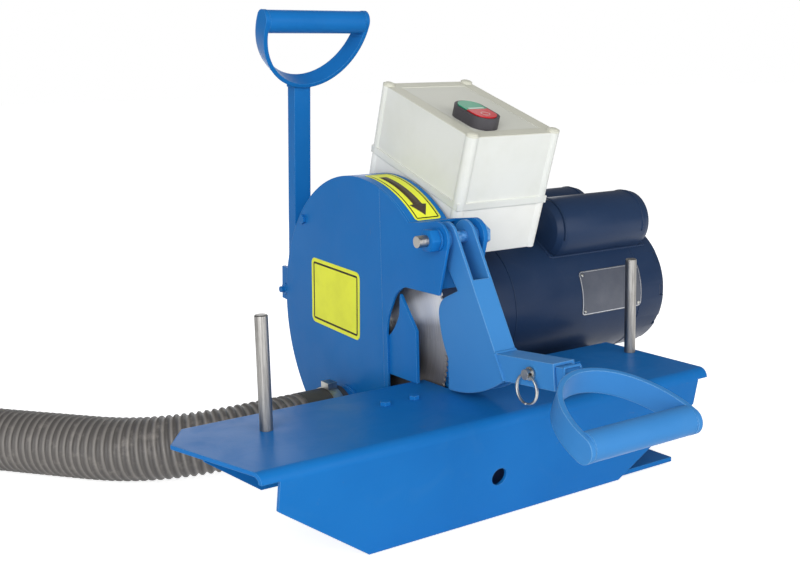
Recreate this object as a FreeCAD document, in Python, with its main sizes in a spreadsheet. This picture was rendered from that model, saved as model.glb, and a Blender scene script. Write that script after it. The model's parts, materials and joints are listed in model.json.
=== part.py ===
import FreeCAD, Part
import math
import os
import Sketcher
from types import SimpleNamespace
from FreeCAD import Placement, Rotation, Vector

# Hose cutting machine: a folded sheet table on a base plate, a toothed disc blade in a narrow
# guard, a direct drive motor, a tilted push-button box, a press arm with a pinned D-handle lever,
# a tall carrying handle and a corrugated dust hose.
# X runs along the table and the blade shaft, Y away from the operator, Z up, in millimetres.
# While it is modelled, X is 0 in the blade's plane, Y is 0 at the table's front, Z is 0 on the floor.

doc = FreeCAD.newDocument("HoseCutter")

# Driving dimensions

driving = [
    ("rubber_thick", 3.0), ("rubber_radius", 15.0),
    ("base_thick", 5.0), ("base_left", -140.0), ("base_waist_left", -47.0), ("base_right", 238.0),
    ("base_rear_right", 320.0), ("base_front", 25.0), ("base_waist", 180.0), ("base_back", 400.0),
    ("mount_hole_radius", 4.5), ("mount_left", -33.0), ("mount_right", 226.0),
    ("mount_front", 140.0), ("mount_back", 386.0),
    ("table_left", -276.0), ("table_tip", -308.0), ("table_right", 264.0), ("table_depth", 164.0),
    ("table_tip_depth", 118.0), ("table_top", 111.0), ("sheet_thick", 4.0), ("bend_radius", 10.0),
    ("apron_lean", 12.0), ("apron_left", -259.0), ("apron_right", 250.0), ("apron_corner_drop", 39.0),
    ("apron_corner_run", 100.0), ("apron_gap", 2.0), ("rear_apron_gap", 30.0),
    ("peep_x", -17.0), ("peep_height", 47.0), ("peep_radius", 9.0),
    ("bracket_left_x", -100.0), ("bracket_right_x", 118.0), ("bracket_width", 58.0),
    ("bracket_front", 62.0), ("bracket_length", 80.0), ("bracket_sheet", 4.0),
    ("post_radius", 6.35), ("post_height", 110.0), ("post_left_x", -219.0), ("post_right_x", 251.0),
    ("post_y", 104.0), ("stud_radius", 5.0), ("stud_length", 18.0),
    ("axis_y", 262.0), ("axis_z", 157.0),
    ("blade_radius", 145.0), ("blade_thick", 2.5), ("blade_notches", 144.0), ("gullet_depth", 3.2),
    ("gullet_width", 4.4), ("gullet_rake", 0.5),
    ("guard_radius", 168.0), ("guard_left", -24.0), ("cover_thick", 3.0), ("back_plate_thick", 5.0),
    ("guard_right", 26.0), ("rim_thick", 3.0), ("rim_front_y", 151.0), ("rim_nose_y", 129.0),
    ("cover_seam_y", 205.0), ("seam_gap", 0.4), ("throat_top", 214.0), ("throat_back_y", 197.0),
    ("throat_lip_y", 152.0), ("throat_round_y", 168.0), ("throat_round_z", 210.0), ("throat_knee_y", 185.0),
    ("throat_knee_z", 191.0), ("throat_back_z", 150.0), ("throat_bulge", 0.09), ("cover_screw_in", 10.0),
    ("cover_screw_high", 43.7), ("cover_screw_low", 48.0), ("guard_foot_leg", 30.0),
    ("guard_foot_bolt_out", 18.0), ("guard_foot_bolt_end", 15.0),
    ("ear_radius", 18.0), ("pivot_y", 99.0), ("pivot_z", 271.0), ("ear_foot_y", 98.0),
    ("strip_bottom_y", 112.0), ("strip_top_y", 124.0), ("strip_bottom_z", 217.0), ("strip_top_z", 256.0),
    ("rest_inner", 17.0), ("rest_thick", 4.0), ("rest_front_y", 145.0), ("rest_peak_y", 174.0),
    ("rest_peak_z", 204.0), ("rest_knee_z", 168.0), ("rest_back_y", 206.0), ("rest_back_z", 150.0),
    ("rest_step_z", 154.0), ("rest_shelf", 8.0), ("rest_hollow_y", 187.0), ("rest_hollow_z", 164.0),
    ("rest_neck_z", 182.0),
    ("pivot_radius", 6.0), ("running_gap", 0.05), ("bolt_gap", 0.25), ("seat_gap", 0.3),
    ("pivot_tail", 23.0), ("washer_thick", 2.0), ("washer_radius", 12.0), ("m12_head", 8.0),
    ("m12_corner", 10.97), ("m10_corner", 9.24), ("m10_nut", 8.0), ("m8_radius", 4.0),
    ("m8_corner", 7.5), ("m8_head", 5.3), ("m6_radius", 3.0), ("m6_corner", 5.77), ("m6_head", 4.0),
    ("arm_width", 25.4), ("arm_wall", 3.0), ("lug_radius", 17.0), ("arm_lean", 29.1),
    ("arm_reach", 156.5), ("web_start", 52.0), ("lobe_y", 114.0), ("lobe_z", 190.0),
    ("shoulder_y", 101.0), ("shoulder_z", 211.0), ("waist_y", 81.0), ("waist_z", 220.0),
    ("heel_z", 147.0), ("bush_radius", 11.0),
    ("socket_size", 25.4), ("socket_wall", 2.8), ("socket_rise", 4.8), ("socket_length", 78.0),
    ("socket_drop", 142.0), ("bar_size", 19.0), ("bar_depth", 17.0), ("lever_reach", 11.0),
    ("bar_inside", 70.0),
    ("tall_half_width", 69.5), ("lever_half_width", 65.0), ("bow_depth", 81.5), ("bow_thick", 5.0),
    ("bow_width", 24.0), ("bow_tail", 14.0), ("grip_radius", 13.3), ("bow_rake", 26.5),
    ("pin_radius", 4.0), ("pin_from_end", 31.5), ("pin_tail", 5.0), ("pin_collar_radius", 6.5),
    ("pin_collar_thick", 2.2), ("pin_eye_radius", 5.0), ("pin_eye_length", 5.6), ("ring_radius", 14.0),
    ("ring_wire", 1.25), ("ring_hole", 2.4),
    ("handle_lean", 4.3), ("tall_width", 22.0), ("tall_stem_length", 255.0), ("stem_below", 11.0),
    ("ear_plate", 5.0), ("ear_depth", 26.0), ("ear_height", 42.0), ("stem_bolt_up", 1.0),
    ("shell_radius", 82.5), ("shell_wall", 3.0), ("vent_slots", 12.0), ("vent_half", 7.0),
    ("vent_depth", 4.5), ("vent_length", 12.0), ("front_round", 3.0), ("front_bell_length", 118.0),
    ("shell_length", 201.0),
    ("rear_bell_length", 47.0), ("bell_wall", 6.0), ("bell_round", 9.0), ("shaft_radius", 7.94),
    ("bearing_radius", 20.0), ("bearing_width", 14.0), ("stator_start", 176.0), ("stator_length", 120.0),
    ("stator_bore", 46.0), ("air_gap", 1.0), ("capsule_radius", 38.0), ("capsule_round", 15.0),
    ("capsule_spread", 40.0), ("capsule_rise", 89.0), ("start_capsule_x", 215.0),
    ("start_capsule_length", 157.0), ("run_capsule_x", 222.0), ("run_capsule_length", 130.0),
    ("face_bolt_inset", 7.9), ("foot_clearance", 6.5), ("foot_x", 205.0), ("foot_length", 90.0),
    ("foot_half", 72.0), ("foot_sheet", 5.0), ("riser_margin", 10.0),
    ("foot_bolt_end", 14.0), ("foot_bolt_side", 10.0), ("foot_toe", 22.0), ("foot_flare", 8.0),
    ("foot_cradle", 34.0),
    ("flange_radius", 40.0), ("flange_thick", 5.0), ("arbor_nut_radius", 16.0), ("arbor_nut_thick", 9.0),
    ("shaft_tail", 17.5),
    ("spout_y", 283.0), ("spout_z", 46.0), ("spout_radius", 31.5), ("spout_wall", 2.0),
    ("spout_flange_radius", 33.5), ("spout_length", 50.0), ("sleeve_wall", 3.4), ("sleeve_start", 12.0),
    ("sleeve_length", 52.0), ("clamp_width", 12.0), ("clamp_thick", 1.2),
    ("hose_radius", 35.0), ("cuff_bore", 31.0), ("cuff_length", 60.0),
    ("box_left", 31.0), ("box_front", 113.0), ("box_top", 369.0), ("box_tilt", 18.85),
    ("box_width", 119.0), ("box_length", 173.0), ("lid_depth", 82.0), ("tub_depth", 54.0),
    ("box_wall", 3.5), ("post_round", 7.0), ("post_inset", 5.0), ("post_rise", 1.5), ("boss_reach", 13.0),
    ("band_height", 8.0), ("band_proud", 1.6), ("panel_inset", 15.0), ("panel_sink", 0.8),
    ("screw_radius", 2.4), ("screw_head_radius", 4.0), ("screw_head", 2.0), ("screw_length", 70.0),
    ("bezel_x", 38.0), ("bezel_y", 46.0), ("bezel_length", 60.0), ("bezel_width", 34.0),
    ("bezel_height", 13.0), ("bezel_wall", 3.0), ("bezel_floor", 6.0), ("button_gap", 0.35),
    ("button_sink", 1.0), ("neck_radius", 11.0), ("neck_length", 40.0), ("stem_radius", 4.0),
    ("contactor_width", 48.0), ("contactor_inset", 8.0), ("contactor_shift", 20.0),
    ("contactor_length", 80.0), ("contactor_height", 62.0),
    ("shelf_thick", 3.0), ("shelf_gap", 0.8),
]

sheet = doc.addObject("Spreadsheet::Sheet", "Sizes")
for row, (name, value) in enumerate(driving, start=1):
    sheet.set(f"A{row}", name)
    sheet.set(f"B{row}", str(value))
    sheet.setAlias(f"B{row}", name)
doc.recompute()
mm = SimpleNamespace(**{name: float(sheet.get(name)) for name, value in driving})

nodes = []


def node(item, label):
    item.Label = label
    nodes.append(item)
    return item


def bind(item, **rules):
    for prop, rule in rules.items():
        item.setExpression(prop, rule)


# Sketches, pads, pockets and revolutions

def new_body(name):
    return doc.addObject("PartDesign::Body", name)


def sketch_on(body, name, plane, offset=0.0):
    sketch = body.newObject("Sketcher::SketchObject", name)
    support = next(item for item in body.Origin.OriginFeatures if item.Role == plane + "_Plane")
    sketch.AttachmentSupport = [(support, "")]
    sketch.MapMode = "FlatFace"
    sketch.AttachmentOffset = Placement(Vector(0, 0, offset), Rotation())
    return sketch


def flat(point):
    return Vector(point[0], point[1], 0)


def arc_through(start, middle, end):
    circle = Part.Arc(flat(start), flat(middle), flat(end)).toShape().Curve
    centre = circle.Center
    turn = (flat(middle) - flat(start)).cross(flat(end) - flat(middle)).z
    first, last = (start, end) if turn > 0 else (end, start)
    begin = math.atan2(first[1] - centre.y, first[0] - centre.x)
    finish = math.atan2(last[1] - centre.y, last[0] - centre.x)
    if finish <= begin:
        finish += 2 * math.pi
    plain = Part.Circle(flat((centre.x, centre.y)), Vector(0, 0, 1), circle.Radius)
    return Part.ArcOfCircle(plain, begin, finish), turn > 0


# An outline is a list of corner points; a step with two points is an arc by way of the first.
def draw(sketch, outline):
    ends = []
    at = outline[0]
    steps = list(outline[1:])
    last = steps[-1][1] if isinstance(steps[-1][0], tuple) else steps[-1]
    if math.dist(last, at) > 1e-6:
        steps.append(at)
    for step in steps:
        if isinstance(step[0], tuple):
            curve, forward = arc_through(at, step[0], step[1])
            index = sketch.addGeometry(curve)
            ends.append((index, 1, 2) if forward else (index, 2, 1))
            at = step[1]
        else:
            index = sketch.addGeometry(Part.LineSegment(flat(at), flat(step)))
            ends.append((index, 1, 2))
            at = step
    for this, following in zip(ends, ends[1:] + ends[:1]):
        sketch.addConstraint(Sketcher.Constraint("Coincident", this[0], this[2], following[0], following[1]))


def ring(sketch, centre, rule, radius):
    index = sketch.addGeometry(Part.Circle(flat(centre), Vector(0, 0, 1), radius))
    number = sketch.addConstraint(Sketcher.Constraint("Radius", index, radius))
    sketch.setExpression(f"Constraints[{number}]", rule)


def pad(body, sketch, length, both=False):
    feature = body.newObject("PartDesign::Pad", sketch.Name + "Pad")
    feature.Profile = sketch
    feature.SideType = "Symmetric" if both else "One side"
    bind(feature, Length=length)
    sketch.Visibility = False
    return feature


def pocket(body, sketch, length, both=False):
    doc.recompute()
    before = body.Shape.Volume
    feature = body.newObject("PartDesign::Pocket", sketch.Name + "Pocket")
    feature.Profile = sketch
    feature.SideType = "Symmetric" if both else "One side"
    feature.Reversed = not both
    bind(feature, Length=length)
    doc.recompute()
    if body.Shape.Volume > before - 0.01:
        raise RuntimeError(sketch.Name + " cuts nothing")
    return feature


def turned(name, outline):
    body = new_body(name)
    sketch = sketch_on(body, name + "Section", "XZ")
    draw(sketch, outline)
    feature = body.newObject("PartDesign::Revolution", name + "Turn")
    feature.Profile = sketch
    feature.ReferenceAxis = (sketch, ["H_Axis"])
    feature.Angle = 360
    return body


# Primitives

def aim(start, direction):
    return Placement(Vector(*start), Rotation(Vector(0, 0, 1), Vector(*direction)))


def rod(name, radius, length, start, direction=(1, 0, 0)):
    item = doc.addObject("Part::Cylinder", name)
    bind(item, Radius=radius, Height=length)
    item.Placement = aim(start, direction)
    return item


def block(name, length, width, height, start):
    item = doc.addObject("Part::Box", name)
    bind(item, Length=length, Width=width, Height=height)
    item.Placement = Placement(Vector(*start), Rotation())
    return item


def hexagon(name, corner, height, start, direction):
    item = doc.addObject("Part::Prism", name)
    item.Polygon = 6
    bind(item, Circumradius=corner, Height=height)
    item.Placement = aim(start, direction)
    return item


def joined(name, items):
    item = doc.addObject("Part::MultiFuse", name)
    item.Shapes = items
    item.Refine = True
    return item


def less(name, base, tools):
    item = doc.addObject("Part::Cut", name)
    item.Base = base
    item.Tool = tools[0] if len(tools) == 1 else joined(name + "Tools", tools)
    return item


def group(name, items):
    item = doc.addObject("Part::Compound", name)
    item.Links = items
    return item


# A hex bolt with its head outside the seat and its shank going in along the direction.
def bolt(name, size, shank, seat, inward):
    outward = tuple(-part for part in inward)
    head = hexagon(name + "Head", f"Sizes.{size}_corner", f"Sizes.{size}_head", seat, outward)
    stem = rod(name + "Shank", f"Sizes.{size}_radius", shank, seat, inward)
    return joined(name, [head, stem])


def on_circle(radius, degrees):
    angle = math.radians(degrees)
    return mm.axis_y + radius * math.cos(angle), mm.axis_z + radius * math.sin(angle)


# Base plate with its rubber pads

base_top = mm.rubber_thick + mm.base_thick
pad_places = [(mm.base_right - 18, mm.base_front + 34), (mm.base_left + 20, mm.base_front + 34),
              (mm.base_waist_left + 38, mm.base_back - 18), (mm.base_rear_right - 25, mm.base_back - 20)]
mount_places = [(x, y) for x in (mm.mount_left, mm.mount_right) for y in (mm.mount_front, mm.mount_back)]


def make_base_plate():
    body = new_body("BasePlate")
    sketch = sketch_on(body, "BasePlateOutline", "XY", mm.rubber_thick)
    draw(sketch, [(mm.base_left, mm.base_front), (mm.base_right, mm.base_front),
                  (mm.base_right, mm.base_waist), (mm.base_rear_right, mm.base_waist),
                  (mm.base_rear_right, mm.base_back), (mm.base_waist_left, mm.base_back),
                  (mm.base_waist_left, mm.base_waist), (mm.base_left, mm.base_waist)])
    for place in mount_places:
        ring(sketch, place, "Sizes.mount_hole_radius", mm.mount_hole_radius)
    for place in pad_places + bracket_bolt_places() + guard_foot_bolts():
        ring(sketch, place, "Sizes.m6_radius + Sizes.bolt_gap", mm.m6_radius + mm.bolt_gap)
    pad(body, sketch, "Sizes.base_thick")
    node(body, "base_plate")


def make_rubber_pads():
    pads = []
    for index, (x, y) in enumerate(pad_places):
        disc = rod(f"PadDisc{index}", "Sizes.rubber_radius", "Sizes.rubber_thick", (x, y, 0), (0, 0, 1))
        hole = rod(f"PadHole{index}", "Sizes.m6_radius + Sizes.bolt_gap", "Sizes.rubber_thick",
                   (x, y, 0), (0, 0, 1))
        pads.append(less(f"Pad{index}", disc, [hole]))
    node(group("RubberPads", pads), "rubber_feet")
    screws = [bolt(f"PadBolt{index}", "m6", "Sizes.base_thick + Sizes.rubber_thick * 0.7",
                   (x, y, base_top), (0, 0, -1)) for index, (x, y) in enumerate(pad_places)]
    node(group("PadBolts", screws), "foot_bolts")


# Folded table on two channel brackets

table_under = mm.table_top - mm.sheet_thick


def make_table():
    body = new_body("Table")
    section = sketch_on(body, "TableSection", "YZ", mm.table_tip)
    lean = math.radians(mm.apron_lean)
    slope = math.tan(lean)
    outer = mm.bend_radius
    inner = mm.bend_radius - mm.sheet_thick
    top, under = mm.table_top, table_under
    centre = (outer, top - outer)

    def around(radius, degrees, middle):
        angle = math.radians(degrees)
        return middle[0] + radius * math.cos(angle), middle[1] + radius * math.sin(angle)

    def down(point, level):
        return point[0] + (point[1] - level) * slope, level

    front_out = around(outer, 180 + mm.apron_lean, centre)
    front_in = around(inner, 180 + mm.apron_lean, centre)
    rear = (mm.table_depth - outer, top - outer)
    half = 90 + (90 + mm.apron_lean) / 2
    draw(section, [down(front_out, mm.apron_gap), front_out,
                   (around(outer, half, centre), (outer, top)), (rear[0], top),
                   (around(outer, 45, rear), (mm.table_depth, rear[1])),
                   (mm.table_depth, mm.rear_apron_gap),
                   (mm.table_depth - mm.sheet_thick, mm.rear_apron_gap),
                   (mm.table_depth - mm.sheet_thick, rear[1]),
                   (around(inner, 45, rear), (rear[0], under)), (outer, under),
                   (around(inner, half, centre), front_in), down(front_in, mm.apron_gap)])
    length = "Sizes.table_right - Sizes.table_tip"
    pad(body, section, length)
    # The aprons stop short of the ends and lose their lower corners.
    shelf = mm.table_top - mm.bend_radius
    knee = shelf - mm.apron_corner_drop + mm.bend_radius
    far = 60.0
    ends = sketch_on(body, "ApronEnds", "XZ", -mm.table_depth - far)
    draw(ends, [(mm.table_tip - far, -far), (mm.apron_left + mm.apron_corner_run, -far),
                (mm.apron_left + mm.apron_corner_run, 0), (mm.apron_left, knee), (mm.apron_left, shelf),
                (mm.table_tip - far, shelf)])
    pocket(body, ends, f"Sizes.table_depth + {2 * far}")
    right = sketch_on(body, "ApronRightEnd", "XZ", -mm.table_depth - far)
    draw(right, [(mm.table_right + far, -far), (mm.apron_right - mm.apron_corner_run, -far),
                 (mm.apron_right - mm.apron_corner_run, 0), (mm.apron_right, knee),
                 (mm.apron_right, shelf), (mm.table_right + far, shelf)])
    pocket(body, right, f"Sizes.table_depth + {2 * far}")
    # The left end slants, and the blade passes through a slot from the rear edge.
    plan = sketch_on(body, "TablePlan", "XY", 0)
    draw(plan, [(mm.table_left, -far), (mm.table_left, 0), (mm.table_tip, mm.table_tip_depth),
                (mm.table_left, mm.table_depth), (mm.table_left, mm.table_depth + far),
                (mm.table_tip - far, mm.table_depth + far), (mm.table_tip - far, -far)])
    pocket(body, plan, "Sizes.table_top + 1")
    slot = sketch_on(body, "BladeSlot", "XY", 0)
    half_slot = mm.blade_thick / 2 + 3.5
    reach = mm.axis_y - mm.blade_radius - 2
    draw(slot, [(-half_slot, mm.table_depth + far), (-half_slot, reach),
                ((0, reach - half_slot), (half_slot, reach)), (half_slot, mm.table_depth + far)])
    pocket(body, slot, "Sizes.table_top + 1")
    holes = sketch_on(body, "TableHoles", "XY", mm.table_top - 2 * mm.bend_radius)
    for x in (mm.post_left_x, mm.post_right_x):
        ring(holes, (x, mm.post_y), "Sizes.stud_radius + Sizes.bolt_gap", mm.stud_radius + mm.bolt_gap)
    for x, y in table_bolt_places():
        ring(holes, (x, y), "Sizes.m6_radius + Sizes.bolt_gap", mm.m6_radius + mm.bolt_gap)
    pocket(body, holes, "2 * Sizes.bend_radius + 1")
    peep = sketch_on(body, "PeepHole", "XZ", -mm.table_depth / 2)
    ring(peep, (mm.peep_x, mm.peep_height), "Sizes.peep_radius", mm.peep_radius)
    pocket(body, peep, "Sizes.table_depth")
    node(body, "table")


def bracket_sides():
    return mm.bracket_left_x, mm.bracket_right_x


def table_bolt_places():
    inset = mm.bracket_width / 5
    return [(x + reach, mm.bracket_front + mm.bracket_length / 2)
            for x in bracket_sides() for reach in (inset, mm.bracket_width - inset)]


def bracket_bolt_places():
    middle = mm.bracket_width / 2 + mm.bracket_sheet
    return [(x + middle, mm.bracket_front + mm.bracket_length * part)
            for x in bracket_sides() for part in (0.2, 0.8)]


def make_brackets():
    channels = []
    t = mm.bracket_sheet
    for name, x in zip(("Left", "Right"), bracket_sides()):
        body = new_body("Bracket" + name)
        sketch = sketch_on(body, "BracketSection" + name, "XZ", -mm.bracket_front - mm.bracket_length)
        far = x + mm.bracket_width
        draw(sketch, [(x, base_top), (far, base_top), (far, base_top + t), (x + t, base_top + t),
                      (x + t, table_under - t), (far, table_under - t), (far, table_under),
                      (x, table_under)])
        pad(body, sketch, "Sizes.bracket_length")
        holes = sketch_on(body, "BracketTopHoles" + name, "XY", table_under - 2 * t)
        for px, py in table_bolt_places():
            if x < px < far:
                ring(holes, (px, py), "Sizes.m6_radius + Sizes.bolt_gap", mm.m6_radius + mm.bolt_gap)
        pocket(body, holes, "3 * Sizes.bracket_sheet")
        lower = sketch_on(body, "BracketFootHoles" + name, "XY", base_top - t)
        for px, py in bracket_bolt_places():
            if x < px < far:
                ring(lower, (px, py), "Sizes.m6_radius + Sizes.bolt_gap", mm.m6_radius + mm.bolt_gap)
        pocket(body, lower, "3 * Sizes.bracket_sheet")
        channels.append(body)
    node(group("Brackets", channels), "table_brackets")
    screws = []
    for index, (x, y) in enumerate(table_bolt_places()):
        screws.append(bolt(f"TableBolt{index}", "m6", "Sizes.sheet_thick + Sizes.bracket_sheet + 6",
                           (x, y, mm.table_top), (0, 0, -1)))
    for index, (x, y) in enumerate(bracket_bolt_places()):
        screws.append(bolt(f"BracketBolt{index}", "m6", "Sizes.bracket_sheet + Sizes.base_thick",
                           (x, y, base_top + t), (0, 0, -1)))
    node(group("TableBolts", screws), "table_bolts")


def make_posts():
    nuts = []
    for label, x in (("left_post", mm.post_left_x), ("right_post", mm.post_right_x)):
        post = rod(label + "Rod", "Sizes.post_radius", "Sizes.post_height - 1",
                   (x, mm.post_y, mm.table_top), (0, 0, 1))
        tip = doc.addObject("Part::Cone", label + "Tip")
        bind(tip, Radius1="Sizes.post_radius", Radius2="Sizes.post_radius - 1")
        tip.Height = 1
        tip.Placement = Placement(Vector(x, mm.post_y, mm.table_top + mm.post_height - 1), Rotation())
        stud = rod(label + "Stud", "Sizes.stud_radius", "Sizes.stud_length",
                   (x, mm.post_y, mm.table_top - mm.stud_length), (0, 0, 1))
        node(joined(label + "Joined", [post, tip, stud]), label)
        body = hexagon(label + "NutBody", "Sizes.m10_corner", "Sizes.m10_nut",
                       (x, mm.post_y, table_under), (0, 0, -1))
        hole = rod(label + "NutHole", "Sizes.stud_radius + Sizes.running_gap", "Sizes.m10_nut + 2",
                   (x, mm.post_y, table_under + 1), (0, 0, -1))
        nuts.append(less(label + "Nut", body, [hole]))
    node(group("PostNuts", nuts), "post_nuts")


# Guard: two cheeks with an ear for the arm's pivot and a throat that the hose lies in

def ear():
    nose = (mm.pivot_y - mm.ear_radius, mm.pivot_z - 3)
    crown = (mm.pivot_y, mm.pivot_z + mm.ear_radius)
    side = mm.ear_radius * math.sin(math.radians(45))
    return [nose, ((mm.pivot_y - side, mm.pivot_z + side), crown)]


def circle_z(y):
    return mm.axis_z + math.sqrt(mm.guard_radius ** 2 - (y - mm.axis_y) ** 2)


def circle_low_y():
    return mm.axis_y + math.sqrt(mm.guard_radius ** 2 - (mm.axis_z - base_top) ** 2)


def crown_angle(y):
    return math.degrees(math.atan2(circle_z(y) - mm.axis_z, y - mm.axis_y))


def low_angle():
    return math.degrees(math.atan2(base_top - mm.axis_z, circle_low_y() - mm.axis_y))


# The middle of an arc that bows out from the line between two points
def bulged(first, second):
    run, rise = second[0] - first[0], second[1] - first[1]
    y, z = (first[0] + second[0]) / 2, (first[1] + second[1]) / 2
    return y - rise * mm.throat_bulge, z + run * mm.throat_bulge


def plate_outline():
    start = (circle_low_y(), base_top)
    front = (mm.rim_front_y, circle_z(mm.rim_front_y))
    middle = on_circle(mm.guard_radius, (low_angle() + crown_angle(mm.rim_front_y)) / 2)
    steps = [start, (middle, front)]
    ear_steps = ear()
    steps.append(ear_steps[1][1])
    steps.append((ear_steps[1][0], ear_steps[0]))
    steps.append((mm.ear_foot_y, mm.throat_top))
    corner = (mm.throat_lip_y, mm.throat_top)
    steps.append(corner)
    for place in ((mm.throat_round_y, mm.throat_round_z), (mm.throat_knee_y, mm.throat_knee_z),
                  (mm.throat_back_y, mm.throat_back_z)):
        steps.append((bulged(corner, place), place))
        corner = place
    steps.append((mm.throat_back_y, base_top))
    return steps


def cover_screw_places():
    return [on_circle(mm.guard_radius - mm.cover_screw_in, angle)
            for angle in (mm.cover_screw_high, -mm.cover_screw_low)]


def make_back_plate():
    body = new_body("BackPlate")
    sketch = sketch_on(body, "BackPlateOutline", "YZ", mm.guard_right - mm.back_plate_thick)
    draw(sketch, plate_outline())
    ring(sketch, (mm.pivot_y, mm.pivot_z), "Sizes.pivot_radius + Sizes.bolt_gap",
         mm.pivot_radius + mm.bolt_gap)
    ring(sketch, (mm.axis_y, mm.axis_z), "Sizes.flange_radius + 4", mm.flange_radius + 4)
    for y, z in face_bolt_places():
        ring(sketch, (y, z), "Sizes.m8_radius + Sizes.bolt_gap", mm.m8_radius + mm.bolt_gap)
    pad(body, sketch, "Sizes.back_plate_thick")
    node(body, "guard_back_plate")


def face_bolt_places():
    return [on_circle(mm.shell_radius - mm.face_bolt_inset, angle) for angle in (45, 135, 225, 315)]


def make_covers():
    for label, name, front in (("guard_front_cover", "FrontCover", True),
                               ("guard_rear_cover", "RearCover", False)):
        body = new_body(name)
        sketch = sketch_on(body, name + "Outline", "YZ", mm.guard_left)
        draw(sketch, plate_outline())
        if front:
            ring(sketch, (mm.pivot_y, mm.pivot_z), "Sizes.pivot_radius + Sizes.bolt_gap",
                 mm.pivot_radius + mm.bolt_gap)
        else:
            ring(sketch, (mm.spout_y, mm.spout_z), "Sizes.spout_radius", mm.spout_radius)
            for y, z in cover_screw_places():
                ring(sketch, (y, z), "Sizes.m6_radius + Sizes.bolt_gap", mm.m6_radius + mm.bolt_gap)
        pad(body, sketch, "Sizes.cover_thick")
        half = mm.seam_gap / 2
        far = mm.axis_y + 2 * mm.guard_radius if front else mm.axis_y - 2 * mm.guard_radius
        trim = sketch_on(body, name + "Trim", "YZ", mm.guard_left - 1)
        near = mm.cover_seam_y - half if front else mm.cover_seam_y + half
        high = mm.axis_z + 2 * mm.guard_radius
        draw(trim, [(near, -20), (far, -20), (far, high), (near, high)])
        pocket(body, trim, "Sizes.cover_thick + 2")
        node(body, label)


def make_rim():
    body = new_body("Rim")
    depth = "Sizes.guard_right - Sizes.guard_left - Sizes.cover_thick - Sizes.back_plate_thick"
    start_x = mm.guard_left + mm.cover_thick
    sketch = sketch_on(body, "RimSection", "YZ", start_x)
    outer, inner = mm.guard_radius, mm.guard_radius - mm.rim_thick
    low, high = low_angle(), crown_angle(mm.rim_front_y)
    middle = (low + high) / 2
    crown = (mm.pivot_y, mm.pivot_z + mm.ear_radius)
    join = on_circle(outer, high)
    part = (join[0] - mm.rim_nose_y) / (join[0] - crown[0])
    nose = (mm.rim_nose_y, join[1] + part * (crown[1] - join[1]))
    draw(sketch, [on_circle(outer, low), (on_circle(outer, middle), join), nose,
                  (nose[0], nose[1] - mm.rim_thick), on_circle(inner, high),
                  (on_circle(inner, middle), on_circle(inner, low))])
    pad(body, sketch, depth)
    strip = new_body("ThroatStrip")
    face = sketch_on(strip, "ThroatStripSection", "YZ", start_x)
    lean = math.atan2(mm.strip_top_y - mm.strip_bottom_y, mm.strip_top_z - mm.strip_bottom_z)
    across = (mm.rim_thick * math.cos(lean), -mm.rim_thick * math.sin(lean))
    low_end = (mm.strip_bottom_y, mm.strip_bottom_z)
    high_end = (mm.strip_top_y, mm.strip_top_z)
    draw(face, [low_end, (low_end[0] + across[0], low_end[1] + across[1]),
                (high_end[0] + across[0], high_end[1] + across[1]), high_end])
    pad(strip, face, depth)
    bosses = []
    for index, (y, z) in enumerate(cover_screw_places()):
        bosses.append(rod(f"CoverBoss{index}", "Sizes.m8_corner", "12", (start_x, y, z)))
    shell = joined("RimWithBosses", [body] + bosses)
    holes = [rod(f"CoverBossHole{index}", "Sizes.m6_radius + Sizes.running_gap", "14", (start_x - 1, y, z))
             for index, (y, z) in enumerate(cover_screw_places())]
    node(group("RimSet", [less("RimDrilled", shell, holes), strip]), "guard_rim")


def make_guard_fasteners():
    screws = []
    for index, (y, z) in enumerate(cover_screw_places()):
        screws.append(bolt(f"CoverBolt{index}", "m6", "Sizes.cover_thick + 9",
                           (mm.guard_left, y, z), (1, 0, 0)))
    for index, (x, y) in enumerate(guard_foot_bolts()):
        screws.append(bolt(f"GuardFootBolt{index}", "m6", "Sizes.foot_sheet + Sizes.base_thick - 1",
                           (x, y, base_top + mm.foot_sheet), (0, 0, -1)))
    node(group("GuardBolts", screws), "guard_bolts")


def guard_foot_bolts():
    x = mm.guard_right + mm.guard_foot_bolt_out
    return [(x, mm.throat_back_y + mm.guard_foot_bolt_end), (x, circle_low_y() - mm.guard_foot_bolt_end)]


def make_guard_foot():
    body = new_body("GuardFoot")
    sketch = sketch_on(body, "GuardFootSection", "XZ", -circle_low_y())
    x, t, leg = mm.guard_right, mm.foot_sheet, mm.guard_foot_leg
    draw(sketch, [(x, base_top), (x + leg, base_top), (x + leg, base_top + t), (x + t, base_top + t),
                  (x + t, base_top + leg), (x, base_top + leg)])
    pad(body, sketch, f"{circle_low_y() - mm.throat_back_y}")
    holes = sketch_on(body, "GuardFootHoles", "XY", base_top - 1)
    for place in guard_foot_bolts():
        ring(holes, place, "Sizes.m6_radius + Sizes.bolt_gap", mm.m6_radius + mm.bolt_gap)
    pocket(body, holes, "Sizes.foot_sheet + 2")
    node(body, "guard_foot")


def make_hose_rests():
    for label, name, start in (("hose_rest_left", "RestLeft", -mm.rest_inner - mm.rest_thick),
                               ("hose_rest_right", "RestRight", mm.rest_inner)):
        body = new_body(name)
        sketch = sketch_on(body, name + "Outline", "YZ", start)
        peak = (mm.rest_peak_y, mm.rest_peak_z)
        foot = mm.table_top + mm.seat_gap
        draw(sketch, [(mm.rest_front_y, foot), (mm.rest_back_y, foot), (mm.rest_back_y, mm.rest_back_z),
                      (mm.rest_back_y - mm.rest_shelf, mm.rest_step_z),
                      ((mm.rest_hollow_y, mm.rest_hollow_z), (mm.rest_peak_y + 2, mm.rest_neck_z)), peak,
                      (mm.rest_front_y, mm.rest_knee_z)])
        pad(body, sketch, "Sizes.rest_thick")
        node(body, label)


# Arm pivot

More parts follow.
